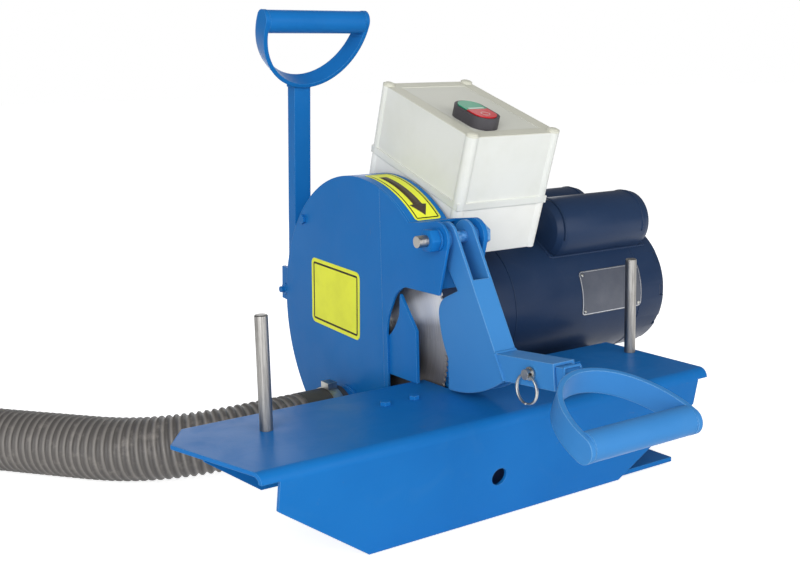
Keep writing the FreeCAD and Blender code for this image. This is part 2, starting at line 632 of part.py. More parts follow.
def make_pivot():
    length = f"{mm.guard_right - mm.guard_left + mm.washer_thick * 2 + mm.pivot_tail}"
    seat = mm.guard_right + mm.washer_thick
    place = (mm.pivot_y, mm.pivot_z)
    stem = rod("PivotStem", "Sizes.pivot_radius", length, (seat, *place), (-1, 0, 0))
    head = hexagon("PivotHead", "Sizes.m12_corner", "Sizes.m12_head", (seat, *place), (1, 0, 0))
    node(joined("PivotBolt", [stem, head]), "pivot_bolt")
    bore = "Sizes.pivot_radius + Sizes.running_gap"
    rings = []
    for name, x in (("NearWasher", mm.guard_left - mm.washer_thick), ("FarWasher", mm.guard_right)):
        disc = rod(name + "Disc", "Sizes.washer_radius", "Sizes.washer_thick", (x, *place))
        hole = rod(name + "Hole", bore, "Sizes.washer_thick + 2", (x - 1, *place))
        rings.append(less(name, disc, [hole]))
    nut_start = mm.guard_left - mm.washer_thick
    nut = hexagon("PivotNutBody", "Sizes.m12_corner", "Sizes.m12_head + 2", (nut_start, *place), (-1, 0, 0))
    hole = rod("PivotNutHole", bore, "Sizes.m12_head + 4", (nut_start + 1, *place), (-1, 0, 0))
    node(group("PivotNutSet", [less("PivotNut", nut, [hole])] + rings), "pivot_nut")


# Press arm: a folded channel that straddles the blade

def along(point, degrees, distance):
    angle = math.radians(degrees)
    return point[0] + distance * math.cos(angle), point[1] + distance * math.sin(angle)


def arm_front():
    down = 270 - mm.arm_lean
    start = along((mm.pivot_y, mm.pivot_z), down - 90, mm.lug_radius)
    reach = math.sqrt(mm.arm_reach ** 2 - mm.lug_radius ** 2)
    return start, down, along(start, down, reach)


def make_arm():
    body = new_body("ArmChannel")
    sketch = sketch_on(body, "ArmOutline", "YZ", 0)
    pivot = (mm.pivot_y, mm.pivot_z)
    start, down, toe = arm_front()
    heel = (mm.pivot_y, mm.pivot_z - mm.arm_reach)
    toe_angle = math.degrees(math.atan2(toe[1] - pivot[1], toe[0] - pivot[0])) % 360
    sole = along(pivot, (toe_angle + 270) / 2, mm.arm_reach)
    waist = (mm.waist_y, mm.waist_z)
    gap = math.dist(waist, pivot)
    back_angle = math.degrees(math.atan2(waist[1] - pivot[1], waist[0] - pivot[0])) % 360
    touch = back_angle + math.degrees(math.acos(mm.lug_radius / gap))
    back = along(pivot, touch, mm.lug_radius)
    crown = along(pivot, (touch - 360 + down - 90) / 2, mm.lug_radius)
    draw(sketch, [start, toe, (sole, heel), (mm.pivot_y, mm.heel_z),
                  ((mm.pivot_y + 10, mm.heel_z + 20), (mm.lobe_y, mm.lobe_z)),
                  ((mm.lobe_y - 3, mm.lobe_z + 13), (mm.shoulder_y, mm.shoulder_z)),
                  waist, back, (crown, start)])
    ring(sketch, pivot, "Sizes.pivot_radius + Sizes.running_gap", mm.pivot_radius + mm.running_gap)
    pad(body, sketch, "Sizes.arm_width", both=True)
    # Everything behind the front web is cut out between the cheeks, and the web is coped at the top.
    inside = sketch_on(body, "ArmInside", "YZ", 0)
    web_top = along(start, down, mm.web_start)
    inner_top = along(web_top, down + 90, mm.arm_wall)
    inner_toe = along(along(toe, down, 60), down + 90, mm.arm_wall)
    cope = along(along(web_top, down - 90, 1), down, 0)
    high = along(along(start, down - 90, 30), down, -40)
    draw(inside, [inner_top, inner_toe, (mm.lobe_y + 40, inner_toe[1]), (mm.lobe_y + 40, high[1] + 20),
                  (high[0], high[1] + 20), cope])
    pocket(body, inside, "Sizes.arm_width - 2 * Sizes.arm_wall", both=True)
    node(body, "arm_channel")


def make_bushes():
    length = mm.guard_right - mm.back_plate_thick - mm.arm_width / 2 - mm.seat_gap
    pieces = []
    for name, x in (("LeftBush", -mm.arm_width / 2 - length), ("RightBush", mm.arm_width / 2)):
        place = (mm.pivot_y, mm.pivot_z)
        disc = rod(name + "Disc", "Sizes.bush_radius", f"{length}", (x, *place))
        hole = rod(name + "Hole", "Sizes.pivot_radius + Sizes.running_gap", f"{length + 2}", (x - 1, *place))
        pieces.append(less(name, disc, [hole]))
    node(group("ArmBushes", pieces), "arm_bushes")


def socket_line():
    start, down, toe = arm_front()
    root = along(start, down, mm.socket_drop)
    heading = 180 - mm.socket_rise
    return root, heading, along(root, heading, mm.socket_length)


def make_socket():
    body = new_body("HandleSocket")
    root, heading, tip = socket_line()
    start, down, toe = arm_front()
    half = mm.socket_size / 2
    clear = half - mm.socket_wall

    def on_web(side):
        above = along(root, heading - 90, side)
        run = -side * math.tan(math.radians(heading - down + 90))
        return along(above, heading, run)

    def at_tip(side, extra=0.0):
        return along(along(tip, heading - 90, side), heading, extra)

    outer = sketch_on(body, "SocketSide", "YZ", 0)
    draw(outer, [on_web(half), at_tip(half), at_tip(-half), on_web(-half)])
    pad(body, outer, "Sizes.socket_size", both=True)
    inner = sketch_on(body, "SocketInside", "YZ", 0)
    draw(inner, [on_web(clear), at_tip(clear, 5), at_tip(-clear, 5), on_web(-clear)])
    pocket(body, inner, "Sizes.socket_size - 2 * Sizes.socket_wall", both=True)
    cross = sketch_on(body, "SocketPinHole", "YZ", 0)
    ring(cross, pin_place(), "Sizes.pin_radius + Sizes.running_gap", mm.pin_radius + mm.running_gap)
    pocket(body, cross, "Sizes.socket_size + 4", both=True)
    node(body, "handle_socket")


def pin_place():
    root, heading, tip = socket_line()
    return along(tip, heading + 180, mm.pin_from_end)


# D-handles: a square bar, a strap bow bent to half an ellipse and a tube grip.
# Each is drawn with the bow's foot at the origin and the bow opening up the local Z axis.

def make_bow(label, name, place, spread):
    body = new_body(name)
    sketch = sketch_on(body, name + "Strap", "XZ", 0)
    a, b = getattr(mm, spread), mm.bow_depth
    t = mm.bow_thick
    centre = Vector(0, b, 0)
    outer = Part.Ellipse(centre, max(a, b), min(a, b))
    inner = Part.Ellipse(centre, max(a, b) - t, min(a, b) - t)
    if b > a:
        for curve in (outer, inner):
            curve.rotate(Placement(centre, Rotation(Vector(0, 0, 1), 90), Vector(0, 0, 0)))
    low, high = (math.pi / 2, 3 * math.pi / 2) if b > a else (math.pi, 2 * math.pi)
    sketch.addGeometry(Part.ArcOfEllipse(outer, low, high))
    sketch.addGeometry(Part.ArcOfEllipse(inner, low, high))
    top = b + mm.bow_tail
    for side in (-1, 1):
        sketch.addGeometry(Part.LineSegment(Vector(side * a, b, 0), Vector(side * a, top, 0)))
        sketch.addGeometry(Part.LineSegment(Vector(side * a, top, 0), Vector(side * (a - t), top, 0)))
        sketch.addGeometry(Part.LineSegment(Vector(side * (a - t), top, 0), Vector(side * (a - t), b, 0)))
    pad(body, sketch, "Sizes.bow_width", both=True)
    # The strap's ends are rounded off round the grip.
    corner = sketch_on(body, name + "EndRound", "YZ", 0)
    half = mm.bow_width / 2
    rise = top - half
    bend = math.sin(math.radians(45)) * half
    for side in (-1, 1):
        draw(corner, [(side * half, rise), (side * (half + 5), rise), (side * (half + 5), top + 5),
                      (0, top + 5), (0, top), ((side * bend, rise + bend), (side * half, rise))])
    pocket(body, corner, f"2 * Sizes.{spread} + 10", both=True)
    body.Placement = place
    node(body, label)


# The grip's ends meet the strap's inner ellipse.
def make_grip(label, name, place, spread):
    share = math.sqrt(1 - (mm.grip_radius / (mm.bow_depth - mm.bow_thick)) ** 2)
    half = (getattr(mm, spread) - mm.bow_thick) * share
    grip = doc.addObject("Part::Cylinder", name)
    part = "sqrt(1 - (Sizes.grip_radius / (Sizes.bow_depth - Sizes.bow_thick)) ^ 2)"
    bind(grip, Radius="Sizes.grip_radius", Height=f"2 * (Sizes.{spread} - Sizes.bow_thick) * {part}")
    grip.Placement = place.multiply(aim((-half, 0, mm.bow_depth), (1, 0, 0)))
    node(grip, label)


def make_lever():
    root, heading, tip = socket_line()
    foot = along(tip, heading, mm.lever_reach)
    bar = doc.addObject("Part::Box", "LeverBar")
    bind(bar, Length="Sizes.bar_size", Width="Sizes.bar_size", Height="Sizes.bar_inside + Sizes.lever_reach")
    back = along(foot, heading + 180, mm.bar_inside + mm.lever_reach)
    half = mm.bar_size / 2
    turn = Rotation(Vector(1, 0, 0), heading - 90)
    bar.Placement = Placement(Vector(0, *back), turn).multiply(Placement(Vector(-half, -half, 0), Rotation()))
    hole = rod("LeverPinHole", "Sizes.pin_radius + Sizes.running_gap", "Sizes.bar_size + 4",
               (-half - 2, *pin_place()))
    node(less("LeverStem", bar, [hole]), "lever_stem")
    place = Placement(Vector(0, *foot), Rotation(Vector(1, 0, 0), heading - 90 + mm.bow_rake))
    lift = mm.bar_size / 2 * math.tan(math.radians(mm.bow_rake))
    place = place.multiply(Placement(Vector(0, 0, lift), Rotation()))
    make_bow("lever_bow", "LeverBow", place, "lever_half_width")
    make_grip("lever_grip", "LeverGrip", place, "lever_half_width")


def make_pin():
    y, z = pin_place()
    face = -mm.socket_size / 2 - mm.seat_gap
    tail = mm.socket_size / 2 + mm.pin_tail
    shank = rod("PinShank", "Sizes.pin_radius", f"{tail - face}", (face, y, z))
    collar = rod("PinCollar", "Sizes.pin_collar_radius", "Sizes.pin_collar_thick", (face, y, z), (-1, 0, 0))
    eye = rod("PinEye", "Sizes.pin_eye_radius", "Sizes.pin_eye_length",
              (face - mm.pin_collar_thick, y, z), (-1, 0, 0))
    middle = face - mm.pin_collar_thick - mm.pin_eye_length / 2
    hole = rod("PinEyeHole", "Sizes.ring_hole", "Sizes.pin_eye_radius * 2 + 4",
               (middle, y - mm.pin_eye_radius - 2, z), (0, 1, 0))
    node(less("LockPin", joined("PinSolid", [shank, collar, eye]), [hole]), "lock_pin")
    corners = [math.radians(45 * step + 22.5) for step in range(8)]
    loop = turned("PullRing", [(mm.ring_wire * math.cos(turn), mm.ring_radius + mm.ring_wire * math.sin(turn))
                               for turn in corners])
    loop.Placement = Placement(Vector(middle, y, z - mm.ring_radius), Rotation())
    node(loop, "pull_ring")


# Tall carrying handle behind the guard, its bar tangent to the rim

def tall_place():
    touch = on_circle(mm.guard_radius + mm.seat_gap, mm.handle_lean)
    return Placement(Vector(0, *touch), Rotation(Vector(1, 0, 0), mm.handle_lean))


def make_tall_handle():
    place = tall_place()
    half = mm.tall_width / 2
    bar = doc.addObject("Part::Box", "TallBar")
    bind(bar, Length="Sizes.tall_width", Width="Sizes.bar_depth",
         Height="Sizes.tall_stem_length + Sizes.stem_below")
    bar.Placement = place.multiply(Placement(Vector(-half, 0, -mm.stem_below), Rotation()))
    middle = mm.bar_depth / 2
    hole = rod("TallBarHole", "Sizes.m8_radius + Sizes.bolt_gap", "Sizes.tall_width + 4", (0, 0, 0))
    hole.Placement = place.multiply(aim((-half - 2, middle, mm.stem_bolt_up), (1, 0, 0)))
    node(less("TallStem", bar, [hole]), "tall_stem")
    rake = Rotation(Vector(1, 0, 0), mm.bow_rake)
    foot = place.multiply(Placement(Vector(0, middle, mm.tall_stem_length), rake))
    lift = mm.bar_depth / 2 * math.tan(math.radians(mm.bow_rake))
    foot = foot.multiply(Placement(Vector(0, 0, lift), Rotation()))
    make_bow("tall_bow", "TallBow", foot, "tall_half_width")
    make_grip("tall_grip", "TallGrip", foot, "tall_half_width")
    ears = []
    gap = half + mm.seat_gap
    for name, x in (("LeftEar", -gap - mm.ear_plate), ("RightEar", gap)):
        plate = block(name + "Plate", "Sizes.ear_plate", "Sizes.ear_depth + 10", "Sizes.ear_height",
                      (0, 0, 0))
        plate.Placement = place.multiply(Placement(Vector(x, -10, -mm.stem_below - 4), Rotation()))
        rim = rod(name + "Rim", "Sizes.guard_radius", "Sizes.ear_plate + 2", (x - 1, mm.axis_y, mm.axis_z))
        bore = rod(name + "Bore", "Sizes.m8_radius + Sizes.bolt_gap", "Sizes.ear_plate + 2", (0, 0, 0))
        bore.Placement = place.multiply(aim((x - 1, middle, mm.stem_bolt_up), (1, 0, 0)))
        ears.append(less(name, plate, [rim, bore]))
    node(group("HandleEars", ears), "handle_lugs")
    outside = gap + mm.ear_plate
    shank = rod("StemBoltShank", "Sizes.m8_radius", f"{2 * outside + 12}", (0, 0, 0))
    shank.Placement = place.multiply(aim((-outside - 12, middle, mm.stem_bolt_up), (1, 0, 0)))
    head = hexagon("StemBoltHead", "Sizes.m8_corner", "Sizes.m8_head", (0, 0, 0), (1, 0, 0))
    head.Placement = place.multiply(aim((outside, middle, mm.stem_bolt_up), (1, 0, 0)))
    nut = hexagon("StemNut", "Sizes.m8_corner", "Sizes.m8_head + 1", (0, 0, 0), (-1, 0, 0))
    nut.Placement = place.multiply(aim((-outside, middle, mm.stem_bolt_up), (-1, 0, 0)))
    node(joined("StemBolt", [shank, head, nut]), "stem_bolt")


# Blade and its drive

def place_on_axis(item, x=0.0):
    item.Placement = Placement(Vector(x, mm.axis_y, mm.axis_z), Rotation())
    return item


def around_axis(body, feature, name, count):
    pattern = body.newObject("PartDesign::PolarPattern", name)
    pattern.Originals = [feature]
    axis = next(item for item in body.Origin.OriginFeatures if item.Role == "X_Axis")
    pattern.Axis = (axis, [""])
    pattern.Angle = 360
    bind(pattern, Occurrences=count)
    return pattern


def make_blade():
    body = new_body("Blade")
    sketch = sketch_on(body, "BladeDisc", "YZ", -mm.blade_thick / 2)
    ring(sketch, (0, 0), "Sizes.blade_radius", mm.blade_radius)
    ring(sketch, (0, 0), "Sizes.shaft_radius + Sizes.running_gap", mm.shaft_radius + mm.running_gap)
    pad(body, sketch, "Sizes.blade_thick")
    # A gullet is steep behind, which is the next tooth's cutting face, and shallow in front.
    notch = sketch_on(body, "BladeGullet", "YZ", -mm.blade_thick / 2 - 1)
    out = mm.blade_radius + 1
    draw(notch, [(mm.gullet_rake, out), (0, mm.blade_radius - mm.gullet_depth), (-mm.gullet_width, out)])
    feature = pocket(body, notch, "Sizes.blade_thick + 2")
    body.Tip = around_axis(body, feature, "BladeTeeth", "Sizes.blade_notches")
    node(place_on_axis(body), "blade")


def make_drive():
    half = mm.blade_thick / 2
    bore = mm.shaft_radius + mm.running_gap
    rings = []
    for name, side in (("OuterFlange", -1), ("InnerFlange", 1)):
        near, far = side * half, side * (half + mm.flange_thick)
        rim = mm.flange_radius
        rings.append(place_on_axis(turned(name, [(near, bore), (near, rim), (near + side * 2, rim),
                                                 (far, rim - 6), (far, bore)])))
    node(group("Flanges", rings), "blade_flanges")
    nut_face = -half - mm.flange_thick
    nut = hexagon("ArborNutBody", "Sizes.arbor_nut_radius", "Sizes.arbor_nut_thick",
                  (nut_face, mm.axis_y, mm.axis_z), (-1, 0, 0))
    hole = rod("ArborNutHole", "Sizes.shaft_radius + Sizes.running_gap", "Sizes.arbor_nut_thick + 2",
               (nut_face + 1, mm.axis_y, mm.axis_z), (-1, 0, 0))
    node(less("ArborNut", nut, [hole]), "arbor_nut")
    end = rear_bearing_x() + mm.bearing_width
    r, shoulder, core = mm.shaft_radius, mm.shaft_radius + 4, mm.shaft_radius + 9
    front = front_bearing_x() + mm.bearing_width
    shaft = turned("MotorShaft", [(-mm.shaft_tail, 0), (-mm.shaft_tail, r), (half + mm.flange_thick, r),
                                  (half + mm.flange_thick, r + 2), (front, r + 2), (front, core),
                                  (rear_bearing_x(), core), (rear_bearing_x(), r + 2), (end, r + 2),
                                  (end, 0)])
    node(place_on_axis(shaft), "motor_shaft")
    outer = mm.stator_bore - mm.air_gap
    core_start = mm.stator_start
    rotor = turned("RotorCore", [(core_start - 8, core), (core_start - 8, core + 9), (core_start, core + 9),
                                 (core_start, outer), (core_start + mm.stator_length, outer),
                                 (core_start + mm.stator_length, core + 9),
                                 (core_start + mm.stator_length + 8, core + 9),
                                 (core_start + mm.stator_length + 8, core)])
    node(place_on_axis(rotor), "rotor_core")


# Motor

front_bell_x = mm.guard_right
shell_x = front_bell_x + mm.front_bell_length
rear_bell_x = shell_x + mm.shell_length
motor_end = rear_bell_x + mm.rear_bell_length


def front_bearing_x():
    return front_bell_x + mm.bell_wall


def rear_bearing_x():
    return motor_end - mm.bell_wall - mm.bearing_width


# Points of a rounded rim at a turned piece's end, from its side round to its face
def rim_steps(end, outer, size, side):
    turns = [math.radians(step) for step in (0, 30, 60, 90)]
    return [(end - side * size * (1 - math.sin(turn)), outer - size * (1 - math.cos(turn))) for turn in turns]


def make_bells():
    outer, wall = mm.shell_radius, mm.bell_wall
    seat = mm.bearing_radius
    bore = mm.shaft_radius + 3
    inner = outer - wall
    x0, x1 = front_bell_x, shell_x
    rim = rim_steps(x0, outer, mm.front_round, -1)
    front = turned("FrontBell", [(x0, bore)] + rim[::-1] + [
        (x1, outer), (x1, inner), (x0 + wall, inner), (x0 + wall, seat + 7),
        (x0 + wall + mm.bearing_width, seat + 5), (x0 + wall + mm.bearing_width, seat), (x0 + wall, seat),
        (x0 + wall, bore)])
    front = place_on_axis(front)
    holes = [rod(f"FaceHole{index}", "Sizes.m8_radius + Sizes.running_gap", "12", (x0 - 1, y, z))
             for index, (y, z) in enumerate(face_bolt_places())]
    node(less("FrontBellDrilled", front, holes), "motor_front_bell")
    a, b = rear_bell_x, motor_end
    rear = turned("RearBell", [(a, inner), (a, outer)] + rim_steps(b, outer, mm.bell_round, 1) + [
        (b, 0), (b - wall, 0), (b - wall, seat), (b - wall - mm.bearing_width, seat),
        (b - wall - mm.bearing_width, seat + 5), (b - wall, seat + 7), (b - wall, inner)])
    vent = sketch_on(rear, "VentSlot", "YZ", b - mm.vent_length)
    low = outer - mm.vent_depth
    half, top = mm.vent_half, outer + 2
    draw(vent, [(-half, low), (half, low), (half, top), (-half, top)])
    slots = around_axis(rear, pocket(rear, vent, "Sizes.vent_length + 1"), "VentSlots", "Sizes.vent_slots")
    rear.Tip = slots
    node(place_on_axis(rear), "motor_rear_bell")
    shell = turned("MotorShell", [(shell_x, outer - mm.shell_wall), (shell_x, outer), (rear_bell_x, outer),
                                  (rear_bell_x, outer - mm.shell_wall)])
    node(place_on_axis(shell), "motor_shell")
    core = turned("Stator", [
        (mm.stator_start, mm.stator_bore), (mm.stator_start, outer - mm.shell_wall),
        (mm.stator_start + mm.stator_length, outer - mm.shell_wall),
        (mm.stator_start + mm.stator_length, mm.stator_bore)])
    node(place_on_axis(core), "stator")
    races = []
    for name, x in (("FrontBearing", front_bearing_x()), ("RearBearing", rear_bearing_x())):
        hole = mm.shaft_radius + 2 + mm.running_gap
        races.append(place_on_axis(turned(name, [
            (x, hole), (x, mm.bearing_radius), (x + mm.bearing_width, mm.bearing_radius),
            (x + mm.bearing_width, hole)])))
    node(group("Bearings", races), "motor_bearings")
    screws = []
    for index, (y, z) in enumerate(face_bolt_places()):
        start = (mm.guard_right - mm.back_plate_thick, y, z)
        screws.append(bolt(f"FaceBolt{index}", "m8", "Sizes.back_plate_thick + 10", start, (1, 0, 0)))
    for index, (x, y) in enumerate(foot_bolt_places()):
        top = foot_base() + mm.foot_sheet
        screws.append(bolt(f"FootBolt{index}", "m8", "2 * Sizes.foot_sheet + 8", (x, y, top), (0, 0, -1)))
    node(group("MotorBolts", screws), "motor_bolts")


def foot_base():
    return mm.axis_z - mm.shell_radius - mm.foot_clearance


def foot_bolt_places():
    ends = (mm.foot_x + mm.foot_bolt_end, mm.foot_x + mm.foot_length - mm.foot_bolt_end)
    out = mm.foot_half - mm.foot_bolt_side
    return [(x, mm.axis_y + side * out) for x in ends for side in (-1, 1)]


def make_feet():
    body = new_body("MotorFoot")
    low = foot_base()
    sketch = sketch_on(body, "MotorFootSection", "YZ", mm.foot_x)
    y, half, t = mm.axis_y, mm.foot_half, mm.foot_sheet
    toe = half - mm.foot_toe
    flank = toe - mm.foot_flare
    top = low + mm.foot_cradle
    draw(sketch, [(y - half, low), (y + half, low), (y + half, low + t), (y + toe, low + t),
                  (y + flank, top), (y - flank, top), (y - toe, low + t), (y - half, low + t)])
    pad(body, sketch, "Sizes.foot_length")
    shell = sketch_on(body, "MotorFootSaddle", "YZ", mm.foot_x - 1)
    ring(shell, (mm.axis_y, mm.axis_z), "Sizes.shell_radius", mm.shell_radius)
    pocket(body, shell, "Sizes.foot_length + 2")
    holes = sketch_on(body, "MotorFootHoles", "XY", low - 1)
    for place in foot_bolt_places():
        ring(holes, place, "Sizes.m8_radius + Sizes.bolt_gap", mm.m8_radius + mm.bolt_gap)
    pocket(body, holes, "Sizes.foot_sheet + 2")
    node(body, "motor_foot")
    riser = new_body("MotorRiser")
    start = mm.axis_y + mm.foot_half + mm.riser_margin
    section = sketch_on(riser, "RiserSection", "XZ", -start)
    x0 = mm.foot_x - mm.riser_margin
    x1 = mm.foot_x + mm.foot_length + mm.riser_margin
    draw(section, [(x0, base_top), (x0 + t, base_top), (x0 + t, low - t), (x1 - t, low - t),
                   (x1 - t, base_top), (x1, base_top), (x1, low), (x0, low)])
    pad(riser, section, "2 * (Sizes.foot_half + Sizes.riser_margin)")
    drilled = sketch_on(riser, "RiserHoles", "XY", low - t - 1)
    for place in foot_bolt_places():
        ring(drilled, place, "Sizes.m8_radius + Sizes.bolt_gap", mm.m8_radius + mm.bolt_gap)
    pocket(riser, drilled, "Sizes.foot_sheet + 2")
    node(riser, "motor_riser")


def make_capacitor_covers():
    for label, name, side, start, length in (
            ("start_capacitor_cover", "StartCover", -1, mm.start_capsule_x, mm.start_capsule_length),
            ("run_capacitor_cover", "RunCover", 1, mm.run_capsule_x, mm.run_capsule_length)):
        r, c = mm.capsule_radius, mm.capsule_round
        end = start + length
        near, far = rim_steps(start, r, c, -1)[::-1], rim_steps(end, r, c, 1)
        body = turned(name, [(start, 0)] + near + far + [(end, 0)])
        seat = sketch_on(body, name + "Seat", "YZ", start - 1)
        ring(seat, (-side * mm.capsule_spread, -mm.capsule_rise), "Sizes.shell_radius", mm.shell_radius)
        pocket(body, seat, f"{length + 2}")
        body.Placement = Placement(Vector(0, mm.axis_y + side * mm.capsule_spread,
                                          mm.axis_z + mm.capsule_rise), Rotation())
        node(body, label)


# Push-button box, drawn with its lid level and then tilted towards the operator

def box_home():
    return Placement(Vector(mm.box_left, mm.box_front, mm.box_top), Rotation(Vector(1, 0, 0), mm.box_tilt))


def box_corners(inset):
    return [(x, y) for x in (inset, mm.box_width - inset) for y in (inset, mm.box_length - inset)]


def notched(inset, notch):
    w, l = mm.box_width, mm.box_length
    i, n = inset, notch
    return [(n, i), (w - n, i), (w - n, n), (w - i, n), (w - i, l - n), (w - n, l - n), (w - n, l - i),
            (n, l - i), (n, l - n), (i, l - n), (i, n), (n, n)]


def box_half(name, low, height_rule, post_rule):
    body = new_body(name)
    walls = sketch_on(body, name + "Walls", "XY", low)
    w, l = mm.box_width, mm.box_length
    draw(walls, [(0, 0), (w, 0), (w, l), (0, l)])
    pad(body, walls, height_rule)
    for index, place in enumerate(box_corners(mm.post_inset)):
        post = sketch_on(body, f"{name}Post{index}", "XY", low)
        ring(post, place, "Sizes.post_round", mm.post_round)
        pad(body, post, post_rule)
    return body


def make_enclosure():
    lid = box_half("Lid", -mm.lid_depth, "Sizes.lid_depth", "Sizes.lid_depth + Sizes.post_rise")
    band = sketch_on(lid, "LidBand", "XY", -mm.lid_depth)
    p = mm.band_proud
    w, l = mm.box_width, mm.box_length
    draw(band, [(-p, -p), (w + p, -p), (w + p, l + p), (-p, l + p)])
    pad(lid, band, "Sizes.band_height")
    hollow = sketch_on(lid, "LidHollow", "XY", -mm.lid_depth)
    draw(hollow, notched(mm.box_wall, mm.boss_reach))
    pocket(lid, hollow, "Sizes.lid_depth - Sizes.box_wall")
    panel = sketch_on(lid, "LidPanel", "XY", -mm.panel_sink)
    i = mm.panel_inset
    draw(panel, [(i, i), (w - i, i), (w - i, l - i), (i, l - i)])
    pocket(lid, panel, "Sizes.panel_sink + 1")
    hole = sketch_on(lid, "ButtonHole", "XY", -2 * mm.box_wall)
    ring(hole, (mm.bezel_x, mm.bezel_y), "Sizes.neck_radius + Sizes.bolt_gap", mm.neck_radius + mm.bolt_gap)
    pocket(lid, hole, "3 * Sizes.box_wall")
    head_seat = mm.post_rise - mm.screw_head
    sinks = sketch_on(lid, "LidScrewSeats", "XY", head_seat)
    shafts = sketch_on(lid, "LidScrewHoles", "XY", -mm.lid_depth)
    for place in box_corners(mm.post_inset):
        ring(sinks, place, "Sizes.screw_head_radius + Sizes.bolt_gap", mm.screw_head_radius + mm.bolt_gap)
        ring(shafts, place, "Sizes.screw_radius + Sizes.bolt_gap", mm.screw_radius + mm.bolt_gap)
    pocket(lid, sinks, "Sizes.screw_head + 1")
    pocket(lid, shafts, "Sizes.lid_depth + Sizes.post_rise + 1")
    lid.Placement = box_home()
    node(lid, "enclosure_lid")

    floor = -mm.lid_depth - mm.tub_depth
    tub = box_half("Tub", floor, "Sizes.tub_depth", "Sizes.tub_depth")
    bay = sketch_on(tub, "TubHollow", "XY", floor + mm.box_wall)
    draw(bay, notched(mm.box_wall, mm.boss_reach))
    pocket(tub, bay, "Sizes.tub_depth")
    taps = sketch_on(tub, "TubScrewHoles", "XY", floor + 2 * mm.box_wall)
    for place in box_corners(mm.post_inset):
        ring(taps, place, "Sizes.screw_radius + Sizes.running_gap", mm.screw_radius + mm.running_gap)
    pocket(tub, taps, "Sizes.tub_depth")
    tub.Placement = box_home()
    node(tub, "enclosure_base")

    screws = []
    length = mm.lid_depth + mm.tub_depth - 4 * mm.box_wall + mm.post_rise
    for index, (x, y) in enumerate(box_corners(mm.post_inset)):
        head = rod(f"LidScrewHead{index}", "Sizes.screw_head_radius", "Sizes.screw_head",
                   (x, y, head_seat), (0, 0, 1))
        stem = rod(f"LidScrewStem{index}", "Sizes.screw_radius", f"{length}", (x, y, head_seat), (0, 0, -1))
        screws.append(joined(f"LidScrew{index}", [head, stem]))
    screws = group("LidScrews", screws)
    screws.Placement = box_home()
    node(screws, "lid_screws")

    switch = block("ContactorBlock", "Sizes.contactor_width", "Sizes.contactor_length",
                   "Sizes.contactor_height",
                   (mm.box_width - mm.box_wall - mm.contactor_width - mm.contactor_inset,
                    mm.box_length / 2 - mm.contactor_shift, floor + mm.box_wall))
    switch.Placement = box_home().multiply(switch.Placement)
    node(switch, "contactor")


def stadium(width, length, cut=None):
    r = width / 2
    straight = length / 2 - r
    x, y = mm.bezel_x, mm.bezel_y
    if cut is None:
        return [(x - r, y - straight), ((x, y - straight - r), (x + r, y - straight)), (x + r, y + straight),
                ((x, y + straight + r), (x - r, y + straight))]
    return [(x - r, y + cut), (x + r, y + cut), (x + r, y + math.copysign(straight, cut)),
            ((x, y + math.copysign(straight + r, cut)), (x - r, y + math.copysign(straight, cut)))]


def make_buttons():
    seat = -mm.panel_sink
    body = new_body("Bezel")
    rim = sketch_on(body, "BezelOutline", "XY", seat)
    draw(rim, stadium(mm.bezel_width, mm.bezel_length))
    pad(body, rim, "Sizes.bezel_height")
    neck = sketch_on(body, "BezelNeck", "XY", seat - mm.neck_length)
    ring(neck, (mm.bezel_x, mm.bezel_y), "Sizes.neck_radius", mm.neck_radius)
    pad(body, neck, "Sizes.neck_length + 1")
    inner_width = mm.bezel_width - 2 * mm.bezel_wall
    inner_length = mm.bezel_length - 2 * mm.bezel_wall
    bay = sketch_on(body, "BezelBay", "XY", seat + mm.bezel_floor)
    draw(bay, stadium(inner_width, inner_length))
    pocket(body, bay, "Sizes.bezel_height")
    guides = sketch_on(body, "ButtonGuides", "XY", seat - mm.neck_length / 2)
    for side in (-1, 1):
        ring(guides, (mm.bezel_x, mm.bezel_y + side * mm.neck_radius * 0.5),
             "Sizes.stem_radius + Sizes.running_gap", mm.stem_radius + mm.running_gap)
    pocket(body, guides, "Sizes.neck_length")
    body.Placement = box_home()
    node(body, "button_bezel")
    gap = mm.button_gap
    travel = mm.bezel_height - mm.bezel_floor - mm.button_sink - 3.5
    for label, name, side in (("start_button", "StartButton", 1), ("stop_button", "StopButton", -1)):
        cap = new_body(name)
        face = sketch_on(cap, name + "Face", "XY", seat + mm.bezel_floor + travel + 0.5)
        draw(face, stadium(inner_width - 2 * gap, inner_length - 2 * gap, side * gap))
        pad(cap, face, "Sizes.bezel_height - Sizes.bezel_floor - Sizes.button_sink - 1")
        stem = sketch_on(cap, name + "Stem", "XY", seat - 4)
        ring(stem, (mm.bezel_x, mm.bezel_y + side * mm.neck_radius * 0.5), "Sizes.stem_radius",
             mm.stem_radius)
        pad(cap, stem, f"{4 + mm.bezel_floor + travel + 1}")
        cap.Placement = box_home()
        node(cap, label)


# How far the shelf's leg reaches down beside the guard: to a small gap above the motor's front bell
def shelf_leg():
    tilt = math.radians(mm.box_tilt)
    drop = (mm.axis_y - mm.box_front) * math.sin(tilt) + (mm.box_top - mm.axis_z) * math.cos(tilt)
    return drop - mm.lid_depth - mm.tub_depth - mm.shell_radius - mm.shelf_gap


def make_shelf():
    body = new_body("Shelf")
    floor = -mm.lid_depth - mm.tub_depth
    left = mm.guard_right - mm.box_left
    sketch = sketch_on(body, "ShelfSection", "XZ", -mm.box_length + 12)
    t = mm.shelf_thick
    w = mm.box_width - 12
    low = floor - shelf_leg()
    draw(sketch, [(left, floor), (w, floor), (w, floor - t), (left + t, floor - t), (left + t, low),
                  (left, low)])
    pad(body, sketch, "Sizes.box_length - 32")
    body.Placement = box_home()
    node(body, "enclosure_bracket")


# Dust spout, hose sleeve, hose and its far cuff

